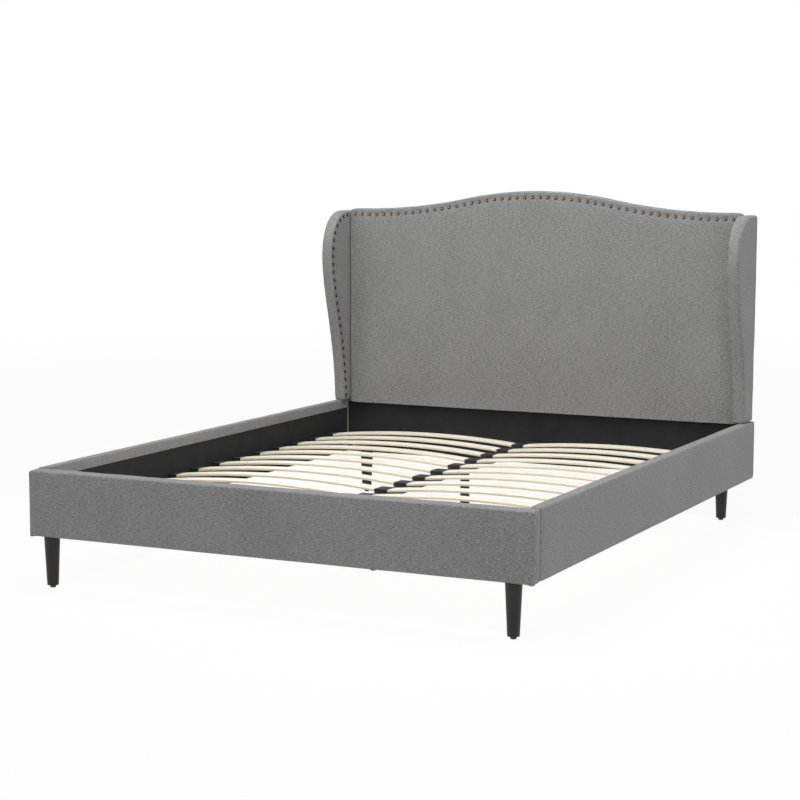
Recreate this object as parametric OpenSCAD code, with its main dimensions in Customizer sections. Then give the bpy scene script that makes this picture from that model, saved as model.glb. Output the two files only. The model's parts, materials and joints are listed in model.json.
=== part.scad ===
// Upholstered double bed with a winged, nailed headboard and a sprung slat base.
// Units are millimetres, +Z is up, the foot end faces -Y and the origin is on the floor under the middle.

/* [Bed frame] */
// Outside width across the two side rails
overall_w = 1710; // [1600:10:1900]
// Outside length from the footboard's front to the headboard's back
overall_l = 2130; // [2110:5:2200]
// Height of the rails' and the footboard's top above the floor
rail_top = 372; // [360:1:390]
// Height of the rails' and the footboard's lower edge above the floor
rail_bottom = 162; // [150:1:175]
// Thickness of a covered side rail
rail_t = 36; // [34:1:42]
// Thickness of the covered footboard
foot_t = 50; // [48:1:58]
// How far the grey cover comes down on the inner side, above the black lining
lip_h = 33; // [20:1:45]

/* [Headboard] */
// Thickness of the whole headboard, cushion included
head_t = 54; // [53:1:64]
// Height of the flat shoulders of the headboard
shoulder_h = 1137; // [1060:1:1200]
// Rise of the crown in the middle above the shoulders
crown_rise = 74; // [60:1:110]
// Radius of the convex crown curve
crown_r = 1500; // [1300:10:1800]
// Distance from the middle to where the sweep runs out into the shoulder
sweep_l = 740; // [700:5:745]
// How far the cushion comes down behind the rails' top
cushion_drop = 8; // [2:1:16]
// Thickness of the foam and fabric in front of the headboard's board
cushion_t = 21; // [18:1:22]

/* [Wings] */
// Thickness of a covered wing
wing_t = 45; // [42:1:50]
// Gap between the rail's top and the wing above it
wing_gap = 5; // [2:1:10]
// How far the wing's outer face lies inside the rail's outer face
wing_inset = 9; // [4:1:12]
// How far the wing's top lies below the headboard's shoulder
wing_drop = 6; // [2:1:30]
// How far the wing's lower end reaches forward of the headboard's back
wing_foot_reach = 104; // [98:1:120]
// How far the wing's nose reaches forward of the headboard's back
wing_nose_reach = 211; // [190:1:240]
// How far the wing's nose, where it reaches farthest, lies below its top
wing_nose_drop = 181; // [150:1:210]

/* [Slats] */
// Width of one slat
slat_w = 53; // [48:1:58]
// Thickness of one slat
slat_t = 8; // [7:0.5:9]
// Rise of a slat's middle above its ends
slat_bow = 23; // [18:1:32]
// Distance of the first slat row's middle from the footboard
slat_first = 161; // [120:0.5:190]
// Distance of the last slat row's middle from the headboard's board
slat_last = 164; // [120:0.5:180]
// Height of the slats' undersides at the side ledgers
slat_outer_h = 242; // [236:1:246]
// Height of the slats' undersides at the centre rail
slat_inner_h = 249; // [247:1:252]

/* [Legs] */
// Diameter of a corner leg at its top
leg_top_d = 50; // [40:1:52]
// Diameter of a corner leg at its foot
leg_foot_d = 36; // [28:1:40]
// Distance of a front leg's axis from the rail's outer face
front_leg_in = 71; // [60:1:90]
// Distance of a rear leg's axis from the rail's outer face
rear_leg_in = 115; // [90:1:130]
// Diameter of a centre leg
centre_leg_d = 33; // [28:1:38]
// Distance of each centre leg from the middle of the bed
centre_leg_apart = 362; // [300:5:420]

/* [Nails] */
// Diameter of a nail's head
nail_d = 13.5; // [10:0.5:15]
// Rise of a nail's head over the fabric
nail_rise = 4.5; // [3:0.5:5]
// Number of nails along the headboard's top
head_nails = 50; // [44:1:52]
// Number of nails along the front of each wing
wing_nails = 26; // [22:1:27]

/* [Hidden] */
$fn = 48;
foot_y = -overall_l / 2;
head_y = overall_l / 2;
half_w = overall_w / 2;
rail_h = rail_top - rail_bottom;
slat_rows = 13;
wing_bottom = rail_top + wing_gap;
wing_top = shoulder_h - wing_drop;
wing_nose_h = wing_top - wing_nose_drop;
crown_h = shoulder_h + crown_rise;
cushion_bottom = rail_top - cushion_drop;

// Fabric, foam and lining thicknesses
foam_t = 7;
skin_t = 2.5;
hem_t = 2;
lining_t = 1;
cloth_t = 0.8;

// Side rail, measured from its inner face outwards
rail_in = half_w - rail_t;
rail_board_t = rail_t - foam_t - skin_t;
rail_y0 = foot_y + foot_t;
lining_rear_gap = 45;
rail_round_out = 12;
rail_round_in = 7;
rail_round_low = 5;

// Footboard, from its front backwards
foot_ply_t = 6;
foot_batten_t = foot_t - foam_t - skin_t - foot_ply_t;
foot_batten_h = 42;
foot_back = foot_y + foot_t;
foot_corner_r = 14;

// Headboard, from its back forwards
head_front = head_y - head_t;
head_board_face = head_front + cushion_t;
head_board_t = 18;
head_frame_back = head_y - cloth_t;
head_batten_t = head_frame_back - head_board_face - head_board_t;
head_batten_w = 58;
top_wrap_t = 5;
side_wrap_t = 3;
wing_out = half_w - wing_inset;
wing_in = wing_out - wing_t;
cushion_half = wing_in - 0.5;
cushion_round = 9;
cushion_corner = 12;
cushion_crown = 3;
head_low_half = rail_in - 0.5;

// Sweep of the headboard's top: a convex arc that meets a hollow arc
sweep_turn = 2 * atan(crown_rise / sweep_l);
hollow_r = crown_rise / (1 - cos(sweep_turn)) - crown_r;
bend_x = crown_r * sin(sweep_turn);

// Wing board
wing_board_t = 18;
wing_board_inset = 12;
wing_round = 7;
wing_crown = 1.5;
wing_nail_inset = 17;
wing_nail_stop = 18;

// Slat base
slat_gap_out = 4.5;
slat_gap_in = 9;
slat_x0 = slat_gap_in;
slat_x1 = half_w - rail_t - slat_gap_out;
slat_l = slat_x1 - slat_x0;
slat_tilt = atan((slat_inner_h - slat_outer_h) / slat_l);
slat_r = slat_l * slat_l / (8 * slat_bow) + slat_bow / 2 + slat_t;
slat_fn = 720;
slat_edge_r = 2.5;
slat_half_turn = asin(slat_l / 2 / slat_r);
slat_row_1 = foot_back + slat_first;
slat_pitch = (head_board_face - slat_last - slat_row_1) / (slat_rows - 1);
holder_wall = 2;
holder_w = slat_w + 2 * holder_wall;
outer_holder_reach = 32;
centre_holder_half = 23.5;
ledger_flange = 30;
ledger_t = 2;
ledger_top = slat_outer_h - holder_wall;
ledger_h = 32;
ledger_screws_n = 6;

// Centre rail, a flat steel tube under the inner slat ends
centre_rail_w = 40;
centre_rail_h = 20;
centre_rail_wall = 1.5;
centre_rail_top = slat_inner_h - holder_wall;
centre_rail_end_gap = 2;
hanger_w = 80;
hanger_t = 2;
hanger_shelf = 30;

// Legs and fasteners
front_leg_y = foot_y + 27;
rear_leg_y = min(head_board_face + head_board_t / 2, head_y - leg_top_d / 2 - 1);
glide_h = 8;
glide_d = 18;
bolt_d = 8;
bolt_in_leg = 28;
bolt_in_frame = 34;
stem_d = 6;
stem_l = 12;
clearance = 0.2;
bracket_leg = 46;
bracket_t = 3;
bracket_h = 60;
bracket_z = rail_bottom + 12;
bracket_bolt_in = 30;
bracket_bolt_rise = 15;
corner_bolt_l = 18;
bolt_head_d = 13;
bolt_head_h = 4;
screw_d = 4;
screw_head_d = 8;
screw_head_h = 2;
screw_l = 16;
wing_bolt_rise = 260;

function slat_name(row) = str("slat_pair_", row < 10 ? "0" : "", row);

// Helpers

// Extrudes a shape drawn in X and Z along Y
module along_y(y0, y1) {
  translate([0, y1, 0]) rotate([90, 0, 0]) linear_extrude(y1 - y0) children();
}

// Extrudes a shape drawn in Y and Z along X
module along_x(x0, x1) {
  translate([x0, 0, 0]) rotate([90, 0, 90]) linear_extrude(x1 - x0) children();
}

// A box between two corners
module box(low, high) {
  translate(low) cube(high - low);
}

// What a rounded corner takes off a square corner that points to -X and -Y
module corner_cut(r) {
  difference() {
    translate([-1, -1]) square(r + 1);
    translate([r, r]) circle(r);
  }
}

// Both sides of the bed from one side
module both_sides() {
  children();
  mirror([1, 0, 0]) children();
}

// A straight pin between two heights
module pin(x, y, z0, z1, d) {
  translate([x, y, z0]) cylinder(h = z1 - z0, d = d);
}

// A pin that points along +X from x0
module x_pin(x0, x1, y, z, d) {
  translate([x0, y, z]) rotate([0, 90, 0]) cylinder(h = x1 - x0, d = d);
}

// A pin that points along +Y from y0
module y_pin(y0, y1, x, z, d) {
  translate([x, y0, z]) rotate([-90, 0, 0]) cylinder(h = y1 - y0, d = d);
}

function unit(v) = v / norm(v);
function left_of(a, b) = let (d = unit(b - a)) [-d[1], d[0]];

// Draws one corner of a closed outline in by d
function inset_point(p, i, d) =
  let (
    n = len(p),
    u = left_of(p[(i + n - 1) % n], p[i]),
    v = left_of(p[i], p[(i + 1) % n])
  )
  p[i] + d * (u + v) / (1 + u * v);

// Draws a whole outline, given anticlockwise, in by d
function inset(p, d) = [for (i = [0:len(p) - 1]) inset_point(p, i, d)];

function bezier(p, t) =
  let (s = 1 - t)
  s * s * s * p[0] + 3 * s * s * t * p[1] + 3 * s * t * t * p[2] + t * t * t * p[3];

// Length of an open line of points up to point k
function length_to(p, k) = k == 0 ? 0 : length_to(p, k - 1) + norm(p[k] - p[k - 1]);

// Point on an open line at a distance along it
function point_along(p, s, k = 1) =
  let (step = norm(p[k] - p[k - 1]))
  s <= step || k == len(p) - 1 ? p[k - 1] + (p[k] - p[k - 1]) * s / step : point_along(p, s - step, k + 1);

// A padded form lofted through rings of equally many points, each ring at its own height
module loft(rings, heights) {
  n = len(rings[0]);
  m = len(rings);
  points = [for (k = [0:m - 1]) for (p = rings[k]) [p[0], p[1], heights[k]]];
  low_face = [for (i = [0:n - 1]) i];
  high_face = [for (i = [n - 1:-1:0]) (m - 1) * n + i];
  side_a = [for (k = [0:m - 2]) for (i = [0:n - 1]) [k * n + i, (k + 1) * n + i, (k + 1) * n + (i + 1) % n]];
  side_b = [for (k = [0:m - 2]) for (i = [0:n - 1]) [k * n + i, (k + 1) * n + (i + 1) % n, k * n + (i + 1) % n]];
  polyhedron(points, concat([low_face], side_a, side_b, [high_face]));
}

// Steps of a rounded edge as [drawn in, height below the face]
function edge_steps(r, n) = [for (i = [0:n]) [r * (1 - cos(90 * i / n)), r * (1 - sin(90 * i / n))]];

// Footboard

// Section of the covered footboard, front face at 0
module foot_section() {
  difference() {
    square([foot_t, rail_h]);
    corner_cut(rail_round_low);
    translate([0, rail_h]) mirror([0, 1]) corner_cut(rail_round_out);
    translate([foot_t, rail_h]) mirror([1, 0]) mirror([0, 1]) corner_cut(rail_round_in);
  }
}

// Plan of the covered footboard with its rounded front corners
module foot_plan() {
  difference() {
    translate([-half_w, foot_y]) square([overall_w, foot_t]);
    translate([-half_w, foot_y]) corner_cut(foot_corner_r);
    translate([half_w, foot_y]) mirror([1, 0]) corner_cut(foot_corner_r);
  }
}

module footboard_cover() {
  color("gray")
  difference() {
    intersection() {
      translate([0, foot_y, rail_bottom]) along_x(-half_w, half_w) foot_section();
      translate([0, 0, rail_bottom]) linear_extrude(rail_h) foot_plan();
    }
    box(
      [-half_w + foam_t, foot_y + foam_t, rail_bottom + hem_t],
      [half_w - foam_t, foot_back - skin_t, rail_top - foam_t]
    );
    box(
      [-rail_in, foot_back - skin_t - 1, rail_bottom + hem_t],
      [rail_in, foot_back + 1, rail_top - lip_h]
    );
    both_sides() front_leg_bolt(clearance);
    both_sides() foot_bracket_bolts(clearance);
  }
}

module footboard_board() {
  color("burlywood")
  box(
    [-half_w + foam_t, foot_y + foam_t, rail_bottom + hem_t],
    [half_w - foam_t, foot_y + foam_t + foot_ply_t, rail_top - foam_t]
  );
}

// Timber strips behind the ply: top, bottom and five uprights
module footboard_battens() {
  y0 = foot_y + foam_t + foot_ply_t;
  y1 = y0 + foot_batten_t;
  z0 = rail_bottom + hem_t;
  z1 = rail_top - foam_t;
  low = z0 + foot_batten_h;
  high = z1 - foot_batten_h;
  end_w = 150;
  mid_w = 90;
  color("tan")
  difference() {
    union() {
      box([-half_w + foam_t, y0, z0], [half_w - foam_t, y1, low]);
      box([-half_w + foam_t, y0, high], [half_w - foam_t, y1, z1]);
      both_sides() box([half_w - foam_t - end_w, y0, low + clearance], [half_w - foam_t, y1, high - clearance]);
      for (k = [-1:1]) translate([k * overall_w / 4, 0, 0])
        box([-mid_w / 2, y0, low + clearance], [mid_w / 2, y1, high - clearance]);
    }
    both_sides() front_leg_bolt(clearance);
    both_sides() foot_bracket_bolts(clearance);
    foot_hanger_screws(clearance);
  }
}

module footboard_lining() {
  color("black")
  difference() {
    box(
      [-rail_in + clearance, foot_back - skin_t, rail_bottom + hem_t],
      [rail_in - clearance, foot_back - skin_t + lining_t, rail_top - lip_h]
    );
    both_sides() foot_bracket_bolts(clearance);
    foot_hanger_screws(clearance);
  }
}

// Side rails, drawn for the +X side

module rail_section() {
  translate([rail_in, rail_bottom])
  difference() {
    square([rail_t, rail_h]);
    translate([rail_t, 0]) mirror([1, 0]) corner_cut(rail_round_low);
    translate([rail_t, rail_h]) mirror([1, 0]) mirror([0, 1]) corner_cut(rail_round_out);
    translate([0, rail_h]) mirror([0, 1]) corner_cut(rail_round_in);
  }
}

module rail_cover() {
  color("gray")
  difference() {
    along_y(rail_y0, head_y) rail_section();
    box(
      [rail_in + skin_t, rail_y0 - 1, rail_bottom + hem_t],
      [half_w - foam_t, head_y - hem_t, rail_top - foam_t]
    );
    box(
      [rail_in - 1, rail_y0 - 1, rail_bottom - 1],
      [rail_in + skin_t + 1, head_y - hem_t, rail_top - lip_h]
    );
  }
}

module rail_board() {
  color("burlywood")
  difference() {
    box(
      [rail_in + skin_t, rail_y0, rail_bottom + hem_t],
      [half_w - foam_t, head_y - hem_t, rail_top - foam_t]
    );
    rail_bracket_bolts(clearance);
    rail_ledger_screws(clearance);
  }
}

module rail_lining() {
  color("black")
  difference() {
    box(
      [rail_in + skin_t - lining_t, rail_y0, rail_bottom + hem_t],
      [rail_in + skin_t, head_y - lining_rear_gap, rail_top - lip_h]
    );
    rail_bracket_bolts(clearance);
    rail_ledger_screws(clearance);
  }
}

// Headboard

// Height of the headboard's top at a distance from the middle
function sweep_h(x) =
  let (a = abs(x))
  a <= bend_x ? crown_h - crown_r + sqrt(crown_r * crown_r - a * a)
  : a < sweep_l ? shoulder_h + hollow_r - sqrt(hollow_r * hollow_r - (sweep_l - a) * (sweep_l - a))
  : shoulder_h;

// Outline of the headboard from z0 up, drawn in by d all round
function head_outline(half, z0, corner, d, n = 44) =
  let (
    r = max(corner - d, 0.5),
    x1 = half - d,
    flat = x1 - r
  )
  concat(
    [[-x1, z0 + d], [x1, z0 + d]],
    [for (i = [0:4]) [flat + r * cos(22.5 * i), sweep_h(flat) - d - r + r * sin(22.5 * i)]],
    [for (i = [1:n - 1]) let (x = flat * (1 - 2 * i / n)) [x, sweep_h(x) - d]],
    [for (i = [0:4]) [-flat - r * sin(22.5 * i), sweep_h(flat) - d - r + r * cos(22.5 * i)]]
  );

// Front cushion of foam and fabric with its wrap over the top of the board
module headboard_cushion() {
  depth = head_frame_back - head_front;
  steps = edge_steps(cushion_round, 4);
  inner = [[48, depth], [110, depth + 0.75 * cushion_crown], [200, depth + cushion_crown]];
  draws = concat([0], [for (s = steps) s[0]], [for (p = inner) p[0]]);
  heights = concat([0], [for (s = steps) depth - s[1]], [for (p = inner) p[1]]);
  color("gray")
  difference() {
    translate([0, head_frame_back, 0]) rotate([90, 0, 0])
      loft([for (d = draws) head_outline(cushion_half, cushion_bottom, cushion_corner, d)], heights);
    along_y(head_board_face, head_frame_back + 1) head_board_outline();
    both_sides() wing_bolt_pins(clearance);
  }
}

// Outline of the board under the cushion's wrap
module head_board_outline() {
  translate([0, -top_wrap_t])
    polygon(head_outline(cushion_half - side_wrap_t, rail_bottom + top_wrap_t, 1, 0));
}

// Ply sheet with the camel-back top; below the wings it widens to meet the rails
module headboard_board() {
  color("burlywood")
  difference() {
    union() {
      along_y(head_board_face, head_board_face + head_board_t) head_board_outline();
      box(
        [-head_low_half, head_board_face, rail_bottom],
        [head_low_half, head_board_face + head_board_t, rail_top - lip_h]
      );
    }
    both_sides() rear_leg_bolt(clearance);
    both_sides() head_bracket_bolts(clearance);
    head_hanger_screws(clearance);
  }
}

// Timber strips on the back of the sheet: two posts, a middle post, and strips between them
module headboard_battens() {
  y0 = head_board_face + head_board_t;
  y1 = head_frame_back;
  post_x = cushion_half - side_wrap_t;
  low = rail_bottom;
  high = shoulder_h - top_wrap_t - 4;
  strip_half = post_x - head_batten_w;
  color("tan")
  difference() {
    union() {
      both_sides() box([strip_half, y0, low], [post_x, y1, high]);
      box(
        [-head_batten_w / 2, y0, low + head_batten_w + clearance],
        [head_batten_w / 2, y1, high - head_batten_w - clearance]
      );
      for (z = [low, high - head_batten_w])
        box([-strip_half + clearance, y0, z], [strip_half - clearance, y1, z + head_batten_w]);
    }
    both_sides() wing_bolt_pins(clearance);
  }
}

module headboard_lining() {
  color("black")
  difference() {
    box(
      [-head_low_half, head_board_face - lining_t, rail_bottom],
      [head_low_half, head_board_face, cushion_bottom - 2]
    );
    both_sides() head_bracket_bolts(clearance);
    head_hanger_screws(clearance);
  }
}

module headboard_back_cloth() {
  edge = 6;
  color("dimgray")
  along_y(head_frame_back, head_y)
    polygon(head_outline(cushion_half, rail_bottom, cushion_corner, edge));
}

// A domed nail head whose flat back is at the origin, facing +Z
module nail_head() {
  dome_r = (nail_d * nail_d / 4 + nail_rise * nail_rise) / (2 * nail_rise);
  intersection() {
    translate([0, 0, nail_rise - dome_r]) sphere(dome_r);
    translate([-nail_d, -nail_d, 0]) cube([2 * nail_d, 2 * nail_d, nail_rise + 1]);
  }
}

module headboard_nails() {
  below_top = 23;
  from_side = 25;
  half_row = cushion_half - from_side;
  color("saddlebrown")
  for (i = [0:head_nails - 1]) {
    x = half_row * (2 * i / (head_nails - 1) - 1);
    translate([x, head_front, sweep_h(x) - below_top]) rotate([90, 0, 0]) nail_head();
  }
}

// Wings, drawn for the +X side as outlines in Y and Z

// Front edge of the wing, from its lower corner up over the nose to the top
function wing_front(n = 12) =
  let (
    foot = [head_y - wing_foot_reach, wing_bottom],
    nose = [head_y - wing_nose_reach, wing_nose_h],
    top = [head_y - 55, wing_top],
    rise = wing_nose_h - wing_bottom,
    fall = wing_top - wing_nose_h,
    lower = [foot, foot + [-6, 0.46 * rise], nose - [0, 0.26 * rise], nose],
    upper = [nose, nose + [0, 0.55 * fall], top - [107, 0], top]
  )
  concat([for (i = [0:n - 1]) bezier(lower, i / n)], [for (i = [0:n]) bezier(upper, i / n)]);

// Closed outline of the wing, anticlockwise with Y to the right
function wing_outline() =
  let (front = wing_front(), back = head_frame_back)
  concat([[back, wing_bottom], [back, wing_top]], [for (i = [len(front) - 1:-1:0]) front[i]]);

module wing_cover() {
  n = 3;
  steps = edge_steps(wing_round, n);
  inner_edge = [for (i = [n:-1:0]) steps[i]];
  outer_face = [[26, wing_t], [40, wing_t + wing_crown]];
  draws = concat([for (s = inner_edge) s[0]], [for (s = steps) s[0]], [for (p = outer_face) p[0]]);
  heights = concat([for (s = inner_edge) s[1]], [for (s = steps) wing_t - s[1]], [for (p = outer_face) p[1]]);
  color("gray")
  difference() {
    translate([wing_in, 0, 0]) rotate([90, 0, 90])
      loft([for (d = draws) inset(wing_outline(), d)], heights);
    wing_board_body(1);
    wing_bolt_pins(clearance);
  }
}

// The board inside the wing, open to the back by the given length
module wing_board_body(past_back = 0) {
  mid = wing_in + wing_t / 2;
  outline = inset(wing_outline(), wing_board_inset);
  along_x(mid - wing_board_t / 2, mid + wing_board_t / 2)
  union() {
    polygon(outline);
    translate([head_frame_back - wing_board_inset - 1, wing_bottom + wing_board_inset])
      square([wing_board_inset + 1 + past_back, wing_top - wing_bottom - 2 * wing_board_inset]);
  }
}

module wing_board() {
  color("burlywood")
  difference() {
    wing_board_body();
    wing_bolt_pins(clearance);
  }
}

module wing_nail_row() {
  path = inset(wing_outline(), wing_nail_inset);
  front = [for (i = [len(path) - 1:-1:2]) path[i]];
  row_l = length_to(front, len(front) - 1) - wing_nail_stop;
  color("saddlebrown")
  for (i = [0:wing_nails - 1]) {
    p = point_along(front, row_l * i / (wing_nails - 1));
    translate([wing_in, p[0], p[1]]) rotate([0, -90, 0]) nail_head();
  }
}

// Legs

module corner_leg(x, y) {
  color("#241c18")
  difference() {
    translate([x, y, glide_h])
      cylinder(h = rail_bottom - glide_h, d1 = leg_foot_d, d2 = leg_top_d);
    pin(x, y, rail_bottom - bolt_in_leg - clearance, rail_bottom + 1, bolt_d + 2 * clearance);
    pin(x, y, glide_h - 1, glide_h + stem_l + clearance, stem_d + 2 * clearance);
  }
}

module centre_leg(y) {
  top = centre_rail_top - centre_rail_h;
  color("#1c1a1a")
  difference() {
    pin(0, y, glide_h, top, centre_leg_d);
    pin(0, y, top - bolt_in_leg - clearance, top + 1, bolt_d + 2 * clearance);
    pin(0, y, glide_h - 1, glide_h + stem_l + clearance, stem_d + 2 * clearance);
  }
}

module glide(x, y) {
  color("black") {
    pin(x, y, 0, glide_h, glide_d);
    pin(x, y, glide_h - 0.5, glide_h + stem_l, stem_d);
  }
}

module leg_glides() {
  both_sides() glide(half_w - front_leg_in, front_leg_y);
  both_sides() glide(half_w - rear_leg_in, rear_leg_y);
  for (s = [-1, 1]) glide(0, s * centre_leg_apart);
}

module front_leg_bolt(extra = 0) {
  pin(
    half_w - front_leg_in, front_leg_y,
    rail_bottom - bolt_in_leg, rail_bottom + bolt_in_frame + extra, bolt_d + 2 * extra
  );
}

module rear_leg_bolt(extra = 0) {
  pin(
    half_w - rear_leg_in, rear_leg_y,
    rail_bottom - bolt_in_leg, rail_bottom + bolt_in_frame + extra, bolt_d + 2 * extra
  );
}

module centre_leg_bolt(y, extra = 0) {
  top = centre_rail_top - centre_rail_h;
  pin(0, y, top - bolt_in_leg, top + centre_rail_h - 2 * centre_rail_wall, bolt_d + 2 * extra);
}

module leg_bolts() {
  color("silver") {
    both_sides() front_leg_bolt();
    both_sides() rear_leg_bolt();
    for (s = [-1, 1]) centre_leg_bolt(s * centre_leg_apart);
  }
}

// Slat base

function slat_y(row) = slat_row_1 + (row - 1) * slat_pitch;

// Section of a slat with its rounded long edges, at its place on the bow's radius
module slat_section() {
  translate([slat_r - slat_t, -slat_w / 2])
  difference() {
    square([slat_t, slat_w]);
    corner_cut(slat_edge_r);
    translate([slat_t, 0]) mirror([1, 0]) corner_cut(slat_edge_r);
    translate([0, slat_w]) mirror([0, 1]) corner_cut(slat_edge_r);
    translate([slat_t, slat_w]) mirror([1, 0]) mirror([0, 1]) corner_cut(slat_edge_r);
  }
}

// One bowed slat of the +X side in row 0: its section swept round the bow's axis
module slat_body() {
  translate([slat_x0, 0, slat_inner_h])
  rotate([0, slat_tilt, 0])
  translate([slat_l / 2, 0, slat_bow + slat_t - slat_r])
  rotate([90, 0, 0])
  rotate([0, 0, 90 - slat_half_turn])
  rotate_extrude(angle = 2 * slat_half_turn, $fn = slat_fn) slat_section();
}

// The square-edged space that a slat takes in its holders
module slat_space() {
  translate([slat_x0, 0, slat_inner_h])
  rotate([0, slat_tilt, 0])
  along_y(-slat_w / 2, slat_w / 2)
  intersection() {
    translate([slat_l / 2, slat_bow + slat_t - slat_r]) difference() {
      circle(slat_r, $fn = slat_fn);
      circle(slat_r - slat_t, $fn = slat_fn);
    }
    translate([0, -slat_t]) square([slat_l, slat_bow + 3 * slat_t]);
  }
}

module slat_pair(row) {
  color("blanchedalmond")
  translate([0, slat_y(row), 0]) both_sides() slat_body();
}

// Angle strip screwed to the inner side of the +X rail
module slat_ledger() {
  x1 = rail_in + skin_t - lining_t;
  color("#202020")
  difference() {
    along_y(rail_y0 + bracket_leg + 4, head_board_face - bracket_leg - 4)
    translate([x1, ledger_top]) union() {
      translate([-ledger_t, -ledger_h]) square([ledger_t, ledger_h]);
      translate([-ledger_flange, -ledger_t]) square([ledger_flange, ledger_t]);
    }
    rail_ledger_screws(clearance);
  }
}

function ledger_screw_y(i) = rail_y0 + 80 + i * (head_board_face - rail_y0 - 160) / (ledger_screws_n - 1);

module screw_shape(x, y, z, extra) {
  x_pin(x, x + screw_l + extra, y, z, screw_d + 2 * extra);
}

module rail_ledger_screws(extra = 0, heads = false) {
  x1 = rail_in + skin_t - lining_t - ledger_t;
  for (i = [0:ledger_screws_n - 1]) {
    y = ledger_screw_y(i);
    z = ledger_top - ledger_h / 2 - 2;
    screw_shape(x1 - 0.5, y, z, extra);
    if (heads) x_pin(x1 - screw_head_h, x1, y, z, screw_head_d);
  }
}

module ledger_screws() {
  color("silver") both_sides() rail_ledger_screws(0, true);
}

// Plastic sleeve that carries a slat's outer end
module outer_holder() {
  x1 = rail_in + skin_t - lining_t;
  difference() {
    along_y(-holder_w / 2, holder_w / 2)
    translate([x1 - outer_holder_reach, ledger_top])
      square([outer_holder_reach, slat_t + 2 * holder_wall + 1.5]);
    slat_space();
  }
}

module outer_slat_holders() {
  color("#181818")
  for (row = [1:slat_rows]) translate([0, slat_y(row), 0]) both_sides() outer_holder();
}

// Double cap that joins two slats over the centre rail and clips round it
module centre_holder() {
  cap_h = slat_t + 2 * holder_wall + 1;
  skirt = 6;
  skirt_t = 2;
  cap_round = 1.2;
  difference() {
    union() {
      along_y(-holder_w / 2, holder_w / 2)
      translate([-centre_holder_half, centre_rail_top])
      difference() {
        square([2 * centre_holder_half, cap_h]);
        translate([0, cap_h]) mirror([0, 1]) corner_cut(cap_round);
        translate([2 * centre_holder_half, cap_h]) mirror([1, 0]) mirror([0, 1]) corner_cut(cap_round);
      }
      both_sides() box(
        [centre_rail_w / 2, -holder_w / 4, centre_rail_top - skirt],
        [centre_rail_w / 2 + skirt_t, holder_w / 4, centre_rail_top]
      );
    }
    both_sides() slat_space();
  }
}

module centre_slat_holders() {
  color("#181818")
  for (row = [1:slat_rows]) translate([0, slat_y(row), 0]) centre_holder();
}

// Flat steel tube that runs from the footboard to the headboard
module centre_rail() {
  y0 = foot_back - skin_t + lining_t + hanger_t + centre_rail_end_gap;
  y1 = head_board_face - lining_t - hanger_t - centre_rail_end_gap;
  color("#202020")
  difference() {
    along_y(y0, y1)
    translate([-centre_rail_w / 2, centre_rail_top - centre_rail_h])
    difference() {
      square([centre_rail_w, centre_rail_h]);
      translate([centre_rail_wall, centre_rail_wall])
        square([centre_rail_w - 2 * centre_rail_wall, centre_rail_h - 2 * centre_rail_wall]);
    }
    for (s = [-1, 1]) centre_leg_bolt(s * centre_leg_apart, clearance);
  }
}

// Steel shoe that carries one end of the centre rail, drawn for a wall at y = 0 that faces +Y
module rail_hanger() {
  low = centre_rail_top - centre_rail_h;
  cheek_t = hanger_t;
  cheek_x = centre_rail_w / 2 + clearance;
  box([-hanger_w / 2, 0, low - hanger_t], [hanger_w / 2, hanger_t, centre_rail_top]);
  box([-cheek_x - cheek_t, 0, low - hanger_t], [cheek_x + cheek_t, hanger_shelf, low]);
  both_sides() box([cheek_x, 0, low - hanger_t], [cheek_x + cheek_t, hanger_shelf, low + 8]);
}

module centre_rail_hangers() {
  color("#303030") {
    difference() {
      translate([0, foot_back - skin_t + lining_t, 0]) rail_hanger();
      foot_hanger_screws(clearance);
    }
    difference() {
      translate([0, head_board_face - lining_t, 0]) mirror([0, 1, 0]) rail_hanger();
      head_hanger_screws(clearance);
    }
  }
}

module foot_hanger_screws(extra = 0, heads = false) {
  y1 = foot_back - skin_t + lining_t + hanger_t;
  z = centre_rail_top - centre_rail_h / 2;
  both_sides() {
    y_pin(y1 - screw_l - extra, y1 + 0.5, hanger_w / 2 - 8, z, screw_d + 2 * extra);
    if (heads) y_pin(y1, y1 + screw_head_h, hanger_w / 2 - 8, z, screw_head_d);
  }
}

module head_hanger_screws(extra = 0, heads = false) {
  y0 = head_board_face - lining_t - hanger_t;
  z = centre_rail_top - centre_rail_h / 2;
  both_sides() {
    y_pin(y0 - 0.5, y0 + screw_l + extra, hanger_w / 2 - 8, z, screw_d + 2 * extra);
    if (heads) y_pin(y0 - screw_head_h, y0, hanger_w / 2 - 8, z, screw_head_d);
  }
}

module hanger_screws() {
  color("silver") {
    foot_hanger_screws(0, true);
    head_hanger_screws(0, true);
  }
}

// Corner joints

// Bolts through the rail's side of the corner brackets, at both ends of the +X rail
module rail_bracket_bolts(extra = 0, heads = false) {
  x0 = rail_in + skin_t - lining_t - bracket_t;
  foot_bolt_y = foot_back - skin_t + lining_t + bracket_bolt_in;
  head_bolt_y = head_board_face - lining_t - bracket_bolt_in;
  for (y = [foot_bolt_y, head_bolt_y]) for (z = bracket_bolt_z()) {
    x_pin(x0 - 0.5, x0 + corner_bolt_l + extra, y, z, bolt_d + 2 * extra);
    if (heads) x_pin(x0 - bolt_head_h, x0, y, z, bolt_head_d);
  }
}

function bracket_bolt_z() = [bracket_z + bracket_bolt_rise, bracket_z + bracket_h - bracket_bolt_rise];
function bracket_bolt_x() = rail_in + skin_t - lining_t - bracket_bolt_in;

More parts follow.
